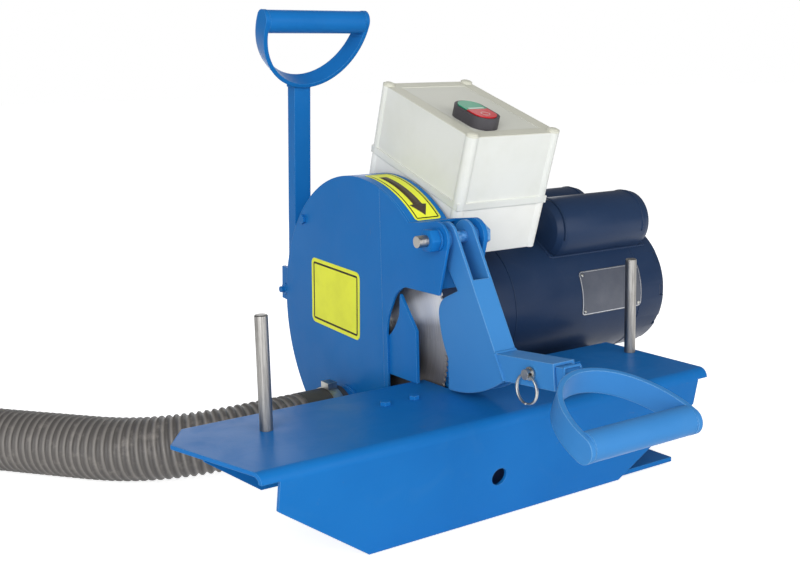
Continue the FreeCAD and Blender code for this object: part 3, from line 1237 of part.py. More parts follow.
sleeve_radius = mm.spout_radius + mm.running_gap + mm.sleeve_wall
sleeve_end = mm.guard_left - mm.sleeve_start - mm.sleeve_length
hose_points = [
    (sleeve_end, mm.spout_y, mm.spout_z), (-115, 283, 46), (-147.7, 286.4, 45), (-179.6, 294.1, 42.8),
    (-210.4, 306.1, 40.2), (-239.2, 322.1, 37.8), (-266, 342.2, 36), (-290.6, 366.2, 35.5),
    (-318.2, 400.8, 35.5), (-353.4, 444.4, 35.5), (-389.4, 489.9, 35.5), (-424.3, 534.9, 35.5),
]


def make_spout():
    x = mm.guard_left
    r, w = mm.spout_radius, mm.spout_wall
    body = turned("Spout", [(x + mm.cover_thick, r - w), (x + mm.cover_thick, r - 0.05), (x, r - 0.05),
                            (x, mm.spout_flange_radius), (x - 3, mm.spout_flange_radius), (x - 3, r),
                            (x - mm.spout_length, r), (x - mm.spout_length, r - w)])
    body.Placement = Placement(Vector(0, mm.spout_y, mm.spout_z), Rotation())
    node(body, "dust_spout")
    start = x - mm.sleeve_start
    outer, bore = sleeve_radius, r + mm.running_gap
    stop = x - mm.spout_length - mm.seat_gap
    sleeve = turned("Sleeve", [(start, bore), (start, outer), (sleeve_end, outer), (sleeve_end, bore - w),
                               (stop, bore - w), (stop, bore)])
    sleeve.Placement = Placement(Vector(0, mm.spout_y, mm.spout_z), Rotation())
    node(sleeve, "hose_sleeve")
    near = start - 8
    far = near - mm.clamp_width
    inner = outer + mm.running_gap
    band = turned("ClampBand", [(near, inner), (near, inner + mm.clamp_thick), (far, inner + mm.clamp_thick),
                                (far, inner)])
    band.Placement = Placement(Vector(0, mm.spout_y, mm.spout_z), Rotation())
    lug = block("ClampLug", "Sizes.clamp_width", "16", "7",
                (far, mm.spout_y - 8, mm.spout_z + inner + mm.clamp_thick * 0.5))
    node(joined("HoseClamp", [band, lug]), "hose_clamp")


def rounded_path(points):
    runs = [points[i + 1] - points[i] for i in range(len(points) - 1)]
    edges = []
    at = points[0]
    radii = []
    for i in range(1, len(points) - 1):
        before, after = runs[i - 1], runs[i]
        turn = before.getAngle(after)
        cut = 0.45 * min(before.Length, after.Length)
        radii.append(cut / math.tan(turn / 2))
        a = points[i] - before * (cut / before.Length)
        b = points[i] + after * (cut / after.Length)
        bisector = (after / after.Length - before / before.Length).normalize()
        dip = radii[-1] * (1 / math.cos(turn / 2) - 1)
        edges.append(Part.LineSegment(at, a).toShape())
        edges.append(Part.Arc(a, points[i] + bisector * dip, b).toShape())
        at = b
    edges.append(Part.LineSegment(at, points[-1]).toShape())
    return Part.Wire(edges), radii


def make_hose():
    points = [Vector(*point) for point in hose_points]
    path, radii = rounded_path(points)
    section = Part.Wire(Part.makeCircle(mm.hose_radius, points[0], points[1] - points[0]))
    tube = path.makePipeShell([section], True, False)
    item = doc.addObject("Part::Feature", "DustHose")
    item.Shape = tube
    node(item, "dust_hose")
    print("hose radii", [round(radius) for radius in radii])
    print("hose length", round(path.Length), "volume over section x length",
          round(tube.Volume / (math.pi * mm.hose_radius ** 2 * path.Length), 4))
    heading = points[-1] - points[-2]
    end = points[-1]
    cuff = turned("Cuff", [(0, 0), (0, mm.hose_radius), (mm.cuff_length, mm.hose_radius),
                           (mm.cuff_length, mm.cuff_bore), (10, mm.cuff_bore), (10, 0)])
    cuff.Placement = Placement(end, Rotation(Vector(1, 0, 0), heading))
    node(cuff, "dust_hose_cuff")


make_base_plate()
make_rubber_pads()
make_table()
make_brackets()
make_posts()
make_back_plate()
make_covers()
make_rim()
make_guard_fasteners()
make_guard_foot()
make_hose_rests()
make_pivot()
make_arm()
make_bushes()
make_socket()
make_lever()
make_pin()
make_tall_handle()
make_blade()
make_drive()
make_bells()
make_feet()
make_capacitor_covers()
make_enclosure()
make_buttons()
make_shelf()
make_spout()
make_hose()
doc.recompute()

# The origin is the middle of the machine's footprint without its dust hose.

for item in doc.Objects:
    if "Invalid" in item.State or "Error" in item.State:
        raise RuntimeError(item.Label + " failed")
loose = ("dust_hose", "dust_hose_cuff")
fixed = [item.Shape.optimalBoundingBox() for item in nodes if item.Label not in loose]
middle_x = (min(box.XMin for box in fixed) + max(box.XMax for box in fixed)) / 2
middle_y = (min(box.YMin for box in fixed) + max(box.YMax for box in fixed)) / 2
home = Placement(Vector(-middle_x, -middle_y, 0), Rotation())
print("origin offset", round(middle_x, 3), round(middle_y, 3))
for item in nodes:
    item.Placement = home.multiply(item.Placement)
doc.recompute()

os.makedirs("parts", exist_ok=True)
for item in nodes:
    shape = item.Shape
    if shape.isNull() or not shape.isValid():
        raise RuntimeError(item.Label + " has no valid shape")
    shape.exportStep(f"parts/{item.Label}.step")
print(len(nodes), "nodes")
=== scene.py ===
import bpy
import bmesh
import json
import math
from mathutils import Matrix, Vector


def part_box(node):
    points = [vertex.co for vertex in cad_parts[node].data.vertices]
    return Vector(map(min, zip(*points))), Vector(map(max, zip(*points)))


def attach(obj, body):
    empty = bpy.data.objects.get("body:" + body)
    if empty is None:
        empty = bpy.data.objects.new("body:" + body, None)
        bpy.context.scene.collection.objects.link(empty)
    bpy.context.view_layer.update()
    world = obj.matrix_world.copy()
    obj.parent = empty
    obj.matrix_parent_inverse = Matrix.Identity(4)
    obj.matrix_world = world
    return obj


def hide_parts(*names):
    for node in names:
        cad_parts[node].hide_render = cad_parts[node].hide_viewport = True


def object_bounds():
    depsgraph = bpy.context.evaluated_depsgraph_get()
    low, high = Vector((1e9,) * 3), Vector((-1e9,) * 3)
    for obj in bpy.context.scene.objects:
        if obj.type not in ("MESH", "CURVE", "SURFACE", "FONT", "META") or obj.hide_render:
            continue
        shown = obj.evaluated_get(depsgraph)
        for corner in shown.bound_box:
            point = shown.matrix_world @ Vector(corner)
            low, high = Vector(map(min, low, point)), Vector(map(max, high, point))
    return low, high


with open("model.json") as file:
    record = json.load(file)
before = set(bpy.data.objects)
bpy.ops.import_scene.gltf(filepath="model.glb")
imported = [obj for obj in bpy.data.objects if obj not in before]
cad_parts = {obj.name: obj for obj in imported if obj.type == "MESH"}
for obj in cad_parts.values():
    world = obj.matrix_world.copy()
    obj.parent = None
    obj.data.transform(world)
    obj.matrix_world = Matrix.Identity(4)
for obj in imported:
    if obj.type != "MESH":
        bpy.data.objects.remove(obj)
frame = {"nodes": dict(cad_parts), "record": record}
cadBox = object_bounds()
nodes = frame["nodes"]

# The drawing's frame in mm: x from the blade's plane, y from the table's front edge, z from the floor
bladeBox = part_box("blade")
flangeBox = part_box("blade_flanges")
bladeAxis = {"y": 262.0, "z": 157.0}
datum = Vector(((bladeBox[0][0] + bladeBox[1][0]) / 2,
                (flangeBox[0][1] + flangeBox[1][1]) / 2 - bladeAxis["y"] / 1000, 0.0))


def at(x, y, z):
    return datum + Vector((x, y, z)) / 1000


tolerance = 0.00001  # points closer than this are one point, in metres


# Camera

camera = {"focal": 1091.3, "imageWidth": 800, "film": 36.0, "yaw": 33.3, "pitch": 10.5, "roll": -1.4,
          "place": (-647.5, -780.9, 428.2), "reach": 50.0}


def setCamera():
    yaw, pitch, roll = (math.radians(camera[key]) for key in ("yaw", "pitch", "roll"))
    ahead = Vector((math.sin(yaw) * math.cos(pitch), math.cos(yaw) * math.cos(pitch), -math.sin(pitch)))
    side = Vector((math.cos(yaw), -math.sin(yaw), 0.0))
    over = side.cross(ahead)
    right = math.cos(roll) * side + math.sin(roll) * over
    up = -math.sin(roll) * side + math.cos(roll) * over
    data = bpy.data.cameras.new("viewpoint")
    data.sensor_width = camera["film"]
    data.lens = camera["film"] * camera["focal"] / camera["imageWidth"]
    data.clip_end = camera["reach"]
    view = bpy.data.objects.new("viewpoint", data)
    turn = Matrix((right, up, -ahead)).transposed().to_4x4()
    view.matrix_world = Matrix.Translation(at(*camera["place"])) @ turn
    bpy.context.scene.collection.objects.link(view)
    bpy.context.scene.camera = view
    print("camera set")


setCamera()


# Small helpers

def newPiece(name, form, body, smooth=True):
    mesh = bpy.data.meshes.new(name)
    form.to_mesh(mesh)
    form.free()
    piece = bpy.data.objects.new(name, mesh)
    bpy.context.scene.collection.objects.link(piece)
    if smooth:
        for face in mesh.polygons:
            face.use_smooth = True
    bpy.context.view_layer.update()
    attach(piece, body)
    return piece


def paint(piece, *names):
    for name in names:
        piece.data.materials.append(finishes[name])
    return piece


# Shader maths: a Wire is a socket that adds Math nodes where it is used in an expression

class Wire:
    def __init__(self, finish, socket):
        self.finish, self.socket = finish, socket

    def maths(self, operation, first, second=None, clamp=False):
        links = {0: first} if second is None else {0: first, 1: second}
        return self.finish.add("Math", {"operation": operation, "use_clamp": clamp}, links)

    def __add__(self, other):
        return self.maths("ADD", self, other)

    def __radd__(self, other):
        return self.maths("ADD", other, self)

    def __sub__(self, other):
        return self.maths("SUBTRACT", self, other)

    def __rsub__(self, other):
        return self.maths("SUBTRACT", other, self)

    def __mul__(self, other):
        return self.maths("MULTIPLY", self, other)

    def __rmul__(self, other):
        return self.maths("MULTIPLY", other, self)

    def __truediv__(self, other):
        return self.maths("DIVIDE", self, other)

    def __rtruediv__(self, other):
        return self.maths("DIVIDE", other, self)

    def sine(self):
        return self.maths("SINE", self)

    def root(self):
        return self.maths("SQRT", self)

    def capped(self):
        return self.maths("ADD", self, 0.0, clamp=True)

    def fade(self, low, high, start=0.0, end=1.0):
        settings = {"interpolation_type": "SMOOTHSTEP"}
        return self.finish.add("MapRange", settings, {"Value": self, "From Min": low, "From Max": high,
                                                      "To Min": start, "To Max": end})


# A colour as seen on a screen, 0 to 255, as the shaders take it
def linear(red, green, blue):
    parts = [value / 255 for value in (red, green, blue)]
    curve = [part / 12.92 if part <= 0.04045 else ((part + 0.055) / 1.055) ** 2.4 for part in parts]
    return (*curve, 1.0)


class Finish:
    def __init__(self, name, **constants):
        self.material = bpy.data.materials.new(name)
        self.material.use_nodes = True
        self.tree = self.material.node_tree
        self.tree.nodes.clear()
        self.shader = self.tree.nodes.new("ShaderNodeBsdfPrincipled")
        output = self.tree.nodes.new("ShaderNodeOutputMaterial")
        self.tree.links.new(self.shader.outputs["BSDF"], output.inputs["Surface"])
        for key, value in constants.items():
            self.shader.inputs[key.replace("_", " ")].default_value = value

    def add(self, kind, settings=None, sockets=None, output=0):
        item = self.tree.nodes.new("ShaderNode" + kind)
        for key, value in (settings or {}).items():
            setattr(item, key, value)
        for key, value in (sockets or {}).items():
            self.join(value, item.inputs[key])
        return Wire(self, item.outputs[output])

    def join(self, value, socket):
        if isinstance(value, Wire):
            self.tree.links.new(value.socket, socket)
        else:
            socket.default_value = value

    def set(self, **values):
        for key, value in values.items():
            self.join(value, self.shader.inputs[key.replace("_", " ")])

    def place(self):
        return self.add("TexCoord", output="Object")

    def axes(self, vector):
        parts = self.tree.nodes.new("ShaderNodeSeparateXYZ")
        self.join(vector, parts.inputs[0])
        return [Wire(self, parts.outputs[number]) for number in range(3)]

    def noise(self, scale, detail, roughness, vector=None, distortion=0.0):
        return self.add("TexNoise", {"noise_dimensions": "3D"},
                        {"Vector": vector or self.place(), "Scale": scale, "Detail": detail,
                         "Roughness": roughness, "Distortion": distortion}, output="Fac")

    def blend(self, factor, first, second):
        return self.add("Mix", {"data_type": "RGBA"}, {0: factor, 6: first, 7: second}, output=2)

    # The surface's direction with its edges softened
    def softened(self, radius):
        return self.add("Bevel", {"samples": 6}, {"Radius": radius})

    # 1 where the surface turns sharply within the radius, 0 on flat ground
    def edges(self, radius):
        plain = self.add("NewGeometry", output="Normal")
        sides = {0: self.softened(radius), 1: plain}
        likeness = self.add("VectorMath", {"operation": "DOT_PRODUCT"}, sides, output="Value")
        return (1.0 - likeness).fade(0.03, 0.4)

    def bump(self, height, distance, strength, edge=None):
        sockets = {"Height": height, "Distance": distance, "Strength": strength}
        if edge:
            sockets["Normal"] = self.softened(edge)
        return self.add("Bump", None, sockets)


finishes = {}


# Sprayed enamel: drifting tone, a fine orange skin, lighter edges that are partly wear and partly painted
# highlight, and faint scuffs.
# Each pattern has its scale, its detail and its roughness.
paintPatterns = {"clouds": (7.0, 4.0, 0.55), "specks": (900.0, 2.0, 0.5), "grime": (24.0, 6.0, 0.62),
                 "scuffs": (55.0, 7.0, 0.72), "chips": (210.0, 5.0, 0.7), "skin": (320.0, 2.0, 0.5)}


def makePaint(name, look):
    finish = Finish(name, Metallic=0.0, Specular_IOR_Level=look["shine"], Coat_Weight=look["coat"],
                    Coat_Roughness=0.2)
    clouds = finish.noise(*paintPatterns["clouds"])
    specks = finish.noise(*paintPatterns["specks"])
    grime = finish.noise(*paintPatterns["grime"], distortion=0.6)
    scuffs = finish.noise(*paintPatterns["scuffs"], distortion=1.2)
    rim = finish.edges(look["edge"])
    chips = finish.noise(*paintPatterns["chips"]).fade(0.56, 0.66) * rim
    tone = finish.blend(clouds.fade(0.3, 0.7) * look["drift"], linear(*look["colour"]), linear(*look["tint"]))
    tone = finish.blend(grime.fade(0.52, 0.78) * look["grime"], tone, linear(*look["dust"]))
    tone = finish.blend(scuffs.fade(0.63, 0.74) * look["scuff"], tone, linear(*look["scuffColour"]))
    # Lighter edges: partly wear, partly a painted highlight where light catches rims and folds.
    tone = finish.blend(rim * look["edgeTint"], tone, linear(*look["edgeWearAndHighlight"]))
    tone = finish.blend(chips * look["chips"], tone, linear(*look["bare"]))
    height = finish.noise(*paintPatterns["skin"]) * 0.6 + specks * 0.25 + clouds * 0.5
    finish.set(Base_Color=tone, Roughness=look["roughness"] + grime.fade(0.35, 0.75) * 0.14 - rim * 0.06,
               Normal=finish.bump(height, look["skin"], 0.55, edge=look["edge"]))
    finishes[name] = finish.material


bluePaint = {"colour": (26, 114, 188), "tint": (20, 105, 178), "drift": 0.6, "roughness": 0.32,
             "shine": 0.08, "coat": 0.0, "skin": 0.00016,
             "edge": 0.0013, "edgeTint": 0.6, "edgeWearAndHighlight": (112, 174, 228),
             "grime": 0.12, "dust": (70, 130, 184), "scuff": 0.3, "scuffColour": (96, 112, 140),
             "chips": 0.3, "bare": (176, 178, 180)}
# A lighter copy of the blue paint for the press arm and its lever: painted light, for the light from above
# and in front that falls on them.
litArmPaint = dict(bluePaint, colour=(64, 134, 199), tint=(54, 126, 192), edgeWearAndHighlight=(150, 200, 240),
                dust=(84, 140, 192), edge=0.0018, edgeTint=0.8)
navyPaint = {"colour": (37, 57, 88), "tint": (30, 48, 78), "drift": 0.5, "roughness": 0.3,
             "shine": 0.15, "coat": 0.05, "skin": 0.00025,
             "edge": 0.0016, "edgeTint": 0.45, "edgeWearAndHighlight": (74, 96, 132),
             "grime": 0.2, "dust": (58, 72, 98), "scuff": 0.1, "scuffColour": (84, 92, 108),
             "chips": 0.12, "bare": (120, 126, 140)}


# Turned or drawn steel with fine lines round or along it
def makeSteel(name, colour, roughness, lineScale, look):
    finish = Finish(name, Metallic=1.0)
    stretch = finish.add("Mapping", None, {"Vector": finish.place(), "Scale": lineScale})
    lines = finish.noise(60.0, 5.0, 0.65, vector=stretch)
    stains = finish.noise(40.0, 5.0, 0.6)
    tone = finish.blend(lines.fade(0.3, 0.7), linear(*colour), linear(*look["light"]))
    tone = finish.blend(stains.fade(0.5, 0.8) * look["stain"], tone, linear(*look["stainColour"]))
    finish.set(Base_Color=tone, Roughness=roughness + lines * 0.18 + stains.fade(0.45, 0.8) * 0.14,
               Normal=finish.bump(lines, look["depth"], 0.5, edge=look["edge"]))
    finishes[name] = finish.material


# The disc's face: rings ground round its axis, with bright spokes painted in as painted highlights and the
# face darkened away from them as painted shade
discSteel = {"colour": (176, 174, 174), "light": (206, 205, 205), "dark": (88, 80, 76),
             "flash": (255, 255, 255), "metal": 0.55, "rings": 1500.0, "round": 3.0, "through": 200.0,
             "spokes": (163.5, -16.5), "spokeHalf": 10.0, "shadeHalf": 34.0, "middle": 5.0, "hub": 0.0001}


def makeDiscSteel():
    look = discSteel
    finish = Finish("blade_steel", Metallic=look["metal"])
    centre = at(0, bladeAxis["y"], bladeAxis["z"])
    moved = finish.add("VectorMath", {"operation": "SUBTRACT"}, {0: finish.place(), 1: tuple(centre)})
    x, y, z = finish.axes(moved)
    radius = (y * y + z * z).root()
    angle = finish.add("Math", {"operation": "ARCTAN2"}, {0: z, 1: y})
    ringPlace = finish.add("CombineXYZ", None, {"X": radius * look["rings"], "Y": angle * look["round"],
                                                "Z": x * look["through"]})
    rings = finish.noise(1.0, 3.0, 0.6, vector=ringPlace)
    paintedGlint, shade = None, None
    for spoke in look["spokes"]:
        turn = math.radians(spoke)
        away = (y * math.sin(turn) - z * math.cos(turn)) / (radius + look["hub"])
        front = ((y * math.cos(turn) + z * math.sin(turn)) * 1000.0).fade(0.0, look["middle"])
        spread = [math.sin(math.radians(look[key])) ** 2 for key in ("spokeHalf", "shadeHalf")]
        bright, dull = [(away * away).fade(0.0, reach, 1.0, 0.0) * front for reach in spread]
        paintedGlint = bright if paintedGlint is None else paintedGlint + bright
        shade = dull if shade is None else shade + dull
    tone = finish.blend(rings.fade(0.3, 0.7), linear(*look["colour"]), linear(*look["light"]))
    # Away from the wider bands the face is darkened: painted shade.
    tone = finish.blend((1.0 - shade.capped()) * 0.75, tone, linear(*look["dark"]))
    # Within the narrow bands it turns white: painted highlight.
    tone = finish.blend(paintedGlint.capped() * (rings * 0.4 + 0.75).capped(), tone, linear(*look["flash"]))
    finish.set(Base_Color=tone, Roughness=0.4 + rings * 0.14,
               Normal=finish.bump(rings, 0.00005, 0.5, edge=0.0005))
    finishes["blade_steel"] = finish.material


# The pivot bolt: painted with the guard, bare at its threaded end
pivotBolt = {"bare": (188, 186, 182), "groove": (110, 106, 100), "paintFrom": -37.5, "paintEdge": 0.6,
             "pitch": 1.75}


def makePivotFinish():
    finish = Finish("pivot_finish")
    x = finish.axes(finish.place())[0]
    border = at(pivotBolt["paintFrom"], 0, 0).x
    stud = ((x - border) * 1000.0).fade(-pivotBolt["paintEdge"], pivotBolt["paintEdge"], 1.0, 0.0)
    # Darker stripes along the bare thread: painted shade in its grooves.
    thread = (x * (2000 * math.pi / pivotBolt["pitch"])).sine() * 0.5 + 0.5
    clouds = finish.noise(240.0, 4.0, 0.6)
    bare = finish.blend(thread * 0.5, linear(*pivotBolt["bare"]), linear(*pivotBolt["groove"]))
    painted = finish.blend(clouds.fade(0.3, 0.7), linear(*bluePaint["colour"]), linear(*bluePaint["edgeWearAndHighlight"]))
    finish.set(Base_Color=finish.blend(stud, painted, bare), Metallic=stud, Roughness=0.26 + clouds * 0.16,
               Normal=finish.bump(thread * stud + clouds * 0.3, 0.0003, 0.6, edge=0.0008))
    finishes["pivot_finish"] = finish.material


# The push-button box's lid: everything on it is placed in its own tilted frame
# Its tint is the band, in mm above the lid's plane, over which the lid top's painted shade and tint fade in.
lidFrame = {"place": (31.0, 113.0, 369.0), "tilt": 18.85, "width": 119.0, "length": 173.0,
            "postInset": 5.0, "postRise": 1.5, "bezel": (38.0, 46.0), "capTop": 13.2, "tint": (-1.2, -0.4)}


# How far a point stands above the lid's plane, in mm
def aboveLid(finish):
    place = at(*lidFrame["place"])
    lean = math.radians(lidFrame["tilt"])
    y, z = finish.axes(finish.place())[1:]
    return ((z - place.z) * math.cos(lean) - (y - place.y) * math.sin(lean)) * 1000.0


# Moulded plastic: fine pores, edges lighter with a painted highlight and, on the lid's top, a darker,
# yellower tone that is partly painted shade and partly tint
def makePlastic(name, colour, shade, roughness, grain, look):
    finish = Finish(name, Metallic=0.0, IOR=1.46, Coat_Weight=look.get("coat", 0.0))
    clouds = finish.noise(14.0, 4.0, 0.6)
    pores = finish.noise(grain, 2.0, 0.5)
    rim = finish.edges(look["edge"])
    tone = finish.blend(clouds.fade(0.35, 0.75), linear(*colour), linear(*shade))
    # The lid's top darkened: partly painted shade, as a top face gets less light, partly a yellowish tint.
    if "lid" in look:
        tone = finish.blend(aboveLid(finish).fade(*lidFrame["tint"]), tone, linear(*look["lid"]))
    # Lighter edges: a painted highlight.
    tone = finish.blend(rim * look["edgeTint"], tone, linear(*look["edgeHighlightColour"]))
    finish.set(Base_Color=tone, Roughness=roughness + pores * 0.12,
               Normal=finish.bump(pores, look["depth"], 0.6, edge=look["edge"]))
    finishes[name] = finish.material


def makeFinishes():
    makePaint("blue_paint", bluePaint)
    makePaint("arm_paint", litArmPaint)
    makePaint("navy_paint", navyPaint)
    plated = {"light": (205, 205, 200), "stain": 0.4, "stainColour": (120, 112, 98), "depth": 0.00008,
              "edge": 0.0006}
    makeSteel("zinc_steel", (150, 150, 148), 0.32, (1.0, 1.0, 1.0), plated)
    drawn = {"light": (178, 176, 172), "stain": 0.35, "stainColour": (112, 105, 96), "depth": 0.00008,
             "edge": 0.0008}
    makeSteel("bright_steel", (128, 126, 124), 0.34, (14.0, 14.0, 0.4), drawn)
    makePivotFinish()
    stacked = {"light": (120, 118, 116), "stain": 0.5, "stainColour": (90, 66, 48), "depth": 0.0001,
               "edge": 0.0005}
    makeSteel("core_steel", (92, 92, 94), 0.4, (60.0, 1.0, 1.0), stacked)
    makeDiscSteel()
    moulded = {"lid": (213, 213, 198), "edge": 0.0014, "edgeTint": 0.4, "edgeHighlightColour": (246, 247, 244),
               "depth": 0.00008}
    makePlastic("box_plastic", (230, 232, 226), (223, 225, 217), 0.45, 1400.0, moulded)
    # A lighter copy of the box plastic for the box's lower part: painted light, making up for the shade
    # between the guard and the box.
    makePlastic("lit_base_plastic", (246, 246, 239), (240, 240, 232), 0.45, 1400.0, moulded)
    cover = {"edge": 0.0008, "edgeTint": 0.3, "edgeHighlightColour": (112, 110, 114), "depth": 0.00006}
    makePlastic("bezel_plastic", (62, 60, 65), (72, 70, 76), 0.4, 1600.0, cover)
    makePlastic("switch_plastic", (60, 60, 62), (44, 44, 46), 0.5, 900.0, cover)
    makePlastic("foot_rubber", (30, 30, 32), (48, 47, 46), 0.75, 500.0, cover)
    makePlastic("cuff_plastic", (62, 61, 60), (80, 78, 76), 0.5, 700.0, cover)
    button = {"edge": 0.0005, "edgeTint": 0.35, "edgeHighlightColour": (150, 215, 190), "depth": 0.00003,
              "coat": 0.1}
    makePlastic("green_plastic", (38, 164, 122), (30, 150, 112), 0.28, 1200.0, button)
    button = dict(button, edgeHighlightColour=(250, 150, 150))
    makePlastic("red_plastic", (212, 24, 38), (196, 20, 34), 0.28, 1200.0, button)
    print("finishes made:", len(finishes))


makeFinishes()


# CAD nodes: shaded smooth up to a crease angle, in degrees, and given their slot's finish

creaseAngle = 28


def makeSmoother():
    tree = bpy.data.node_groups.new("smoothUpToCrease", "GeometryNodeTree")
    tree.interface.new_socket("Geometry", in_out="INPUT", socket_type="NodeSocketGeometry")
    tree.interface.new_socket("Geometry", in_out="OUTPUT", socket_type="NodeSocketGeometry")
    start = tree.nodes.new("NodeGroupInput")
    end = tree.nodes.new("NodeGroupOutput")
    merge = tree.nodes.new("GeometryNodeMergeByDistance")
    merge.inputs["Distance"].default_value = 2 * tolerance
    soft = tree.nodes.new("GeometryNodeSetShadeSmooth")
    soft.domain = "FACE"
    sharp = tree.nodes.new("GeometryNodeSetShadeSmooth")
    sharp.domain = "EDGE"
    angle = tree.nodes.new("GeometryNodeInputMeshEdgeAngle")
    test = tree.nodes.new("FunctionNodeCompare")
    test.operation = "LESS_EQUAL"
    test.inputs[1].default_value = math.radians(creaseAngle)
    tree.links.new(start.outputs[0], merge.inputs[0])
    tree.links.new(merge.outputs[0], soft.inputs["Geometry"])
    tree.links.new(soft.outputs[0], sharp.inputs["Geometry"])
    tree.links.new(angle.outputs["Unsigned Angle"], test.inputs[0])
    tree.links.new(test.outputs[0], sharp.inputs["Shade Smooth"])
    tree.links.new(sharp.outputs[0], end.inputs[0])
    return tree


smoother = makeSmoother()


def smoothPiece(piece):
    live = piece.modifiers.new("smoothUpToCrease", "NODES")
    live.node_group = smoother


# Nodes whose look in the photograph isn't the plain finish of their slot
# The press arm's paint and the box base's plastic are lighter copies of their finishes: painted light.
paintedOver = {"arm_bushes": "arm_paint", "pivot_bolt": "pivot_finish", "arm_channel": "arm_paint",
               "handle_socket": "arm_paint", "lever_stem": "arm_paint", "lever_bow": "arm_paint",
               "lever_grip": "arm_paint", "enclosure_base": "lit_base_plastic"}


def dressNodes():
    slots = {part["node"]: part["material_slot"] for part in frame["record"]["subparts"]}
    for name, item in nodes.items():
        for slot in item.material_slots:
            slot.material = finishes[paintedOver.get(name, slots[name])]
        smoothPiece(item)
    print("nodes dressed:", len(nodes))


# Dust hose: a ribbed tube wound along its own route. A rib's points are shares of its pitch and height.

hoseRoute = {
    "points": [(-88, 283, 46), (-115, 283, 46), (-147.7, 286.4, 45), (-179.6, 294.1, 42.8),
               (-210.4, 306.1, 40.2), (-239.2, 322.1, 37.8), (-266, 342.2, 36), (-290.6, 366.2, 35.5),
               (-318.2, 400.8, 35.5), (-353.4, 444.4, 35.5), (-389.4, 489.9, 35.5), (-424.3, 534.9, 35.5)],
    "rib": [(0.0, 1.0), (0.12, 0.96), (0.25, 0.7), (0.36, 0.2), (0.5, 0.0), (0.64, 0.2), (0.75, 0.7),
            (0.88, 0.96), (1.0, 1.0)],
    "radius": 35.0, "groove": 2.6, "pitch": 8.6, "length": 442.0, "steps": 40, "curveSteps": 24,
}


def routeLine():
    curve = bpy.data.curves.new("hoseRoute", "CURVE")
    curve.dimensions = "3D"
    curve.resolution_u = hoseRoute["curveSteps"]
    line = curve.splines.new("NURBS")
    line.points.add(len(hoseRoute["points"]) - 1)
    for point, place in zip(line.points, hoseRoute["points"]):
        point.co = (*at(*place), 1.0)
    line.order_u = 3
    line.use_endpoint_u = True
    holder = bpy.data.objects.new("hoseRoute", curve)
    bpy.context.scene.collection.objects.link(holder)
    bpy.context.view_layer.update()
    mesh = bpy.data.meshes.new_from_object(holder)
    path = [vertex.co.copy() for vertex in mesh.vertices]
    bpy.data.objects.remove(holder)
    bpy.data.meshes.remove(mesh)
    return path


# The point at a distance along a line, with the direction there
def along(path, distance):
    for first, second in zip(path, path[1:]):
        step = (second - first).length
        if distance <= step:
            return first + (second - first) * (distance / step), (second - first).normalized()
        distance -= step
    ahead = (path[-1] - path[-2]).normalized()
    return path[-1] + ahead * distance, ahead


def makeDustHose():
    size = hoseRoute
    path = routeLine()
    total = sum((b - a).length for a, b in zip(path, path[1:]))
    pitch, groove, outer = size["pitch"] / 1000, size["groove"] / 1000, size["radius"] / 1000
    turns = int(total / pitch)
    form = bmesh.new()
    points = [form.verts.new((outer - groove * (1 - height), 0.0, (place - 1.0) * pitch))
              for place, height in size["rib"]]
    rib = [form.edges.new(pair) for pair in zip(points, points[1:])]
    bmesh.ops.spin(form, geom=points + rib, cent=(0, 0, 0), axis=(0, 0, 1),
                   angle=2 * math.pi * (turns + 1), steps=size["steps"] * (turns + 1),
                   dvec=(0, 0, pitch / size["steps"]), use_merge=False)
    bmesh.ops.remove_doubles(form, verts=form.verts, dist=2 * tolerance)
    reach = turns * pitch
    for height, outside in ((0.0, -1), (reach, 1)):
        geometry = form.verts[:] + form.edges[:] + form.faces[:]
        cut = bmesh.ops.bisect_plane(form, geom=geometry, plane_co=(0, 0, height),
                                     plane_no=(0, 0, outside), dist=tolerance, clear_outer=True)["geom_cut"]
        bmesh.ops.holes_fill(form, edges=[item for item in cut if isinstance(item, bmesh.types.BMEdge)])
    for vertex in form.verts:
        place, ahead = along(path, vertex.co.z / reach * total)
        side = Vector((0, 0, 1)).cross(ahead).normalized()
        up = ahead.cross(side)
        vertex.co = place + side * vertex.co.x + up * vertex.co.y
    bmesh.ops.recalc_face_normals(form, faces=form.faces)
    hose = newPiece("dustHose", form, "base")
    paint(hose, "hose_plastic")
    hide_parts("dust_hose")
    print("hose wound:", turns, "ribs, line", round(total * 1000), "mm")


def makeHosePlastic():
    look = {"litRidge": (138, 134, 130), "groove": (76, 73, 71), "dust": (168, 162, 155)}
    finish = Finish("hose_plastic", Metallic=0.0, IOR=1.45)
    grime = finish.noise(60.0, 6.0, 0.65)
    streaks = finish.noise(260.0, 4.0, 0.6)
    # Crests lighter and grooves darker by pointiness: painted highlight on the ribs and painted shade in the
    # grooves.
    crest = finish.add("NewGeometry", output="Pointiness").fade(0.44, 0.56)
    tone = finish.blend(crest, linear(*look["groove"]), linear(*look["litRidge"]))
    tone = finish.blend(grime.fade(0.5, 0.75) * 0.4, tone, linear(*look["dust"]))
    tone = finish.blend(streaks.fade(0.55, 0.8) * 0.25, tone, linear(*look["groove"]))
    finish.set(Base_Color=tone, Roughness=0.36 + grime * 0.2, Normal=finish.bump(streaks, 0.0001, 0.5))
    finishes["hose_plastic"] = finish.material


makeHosePlastic()
dressNodes()
makeDustHose()


# Thin plates: a rounded outline with an inset border line, flat or wrapped

def bevelled(form, items, affect, offset, segments):
    bmesh.ops.bevel(form, geom=items, offset=offset, offset_type="OFFSET", affect=affect, segments=segments,
                    profile=0.5, material=-1)


def thickened(form, thick):
    bmesh.ops.solidify(form, geom=form.faces[:], thickness=thick)
    low = min(vertex.co.z for vertex in form.verts)
    bmesh.ops.translate(form, verts=form.verts, vec=(0, 0, -low))
    bmesh.ops.recalc_face_normals(form, faces=form.faces)


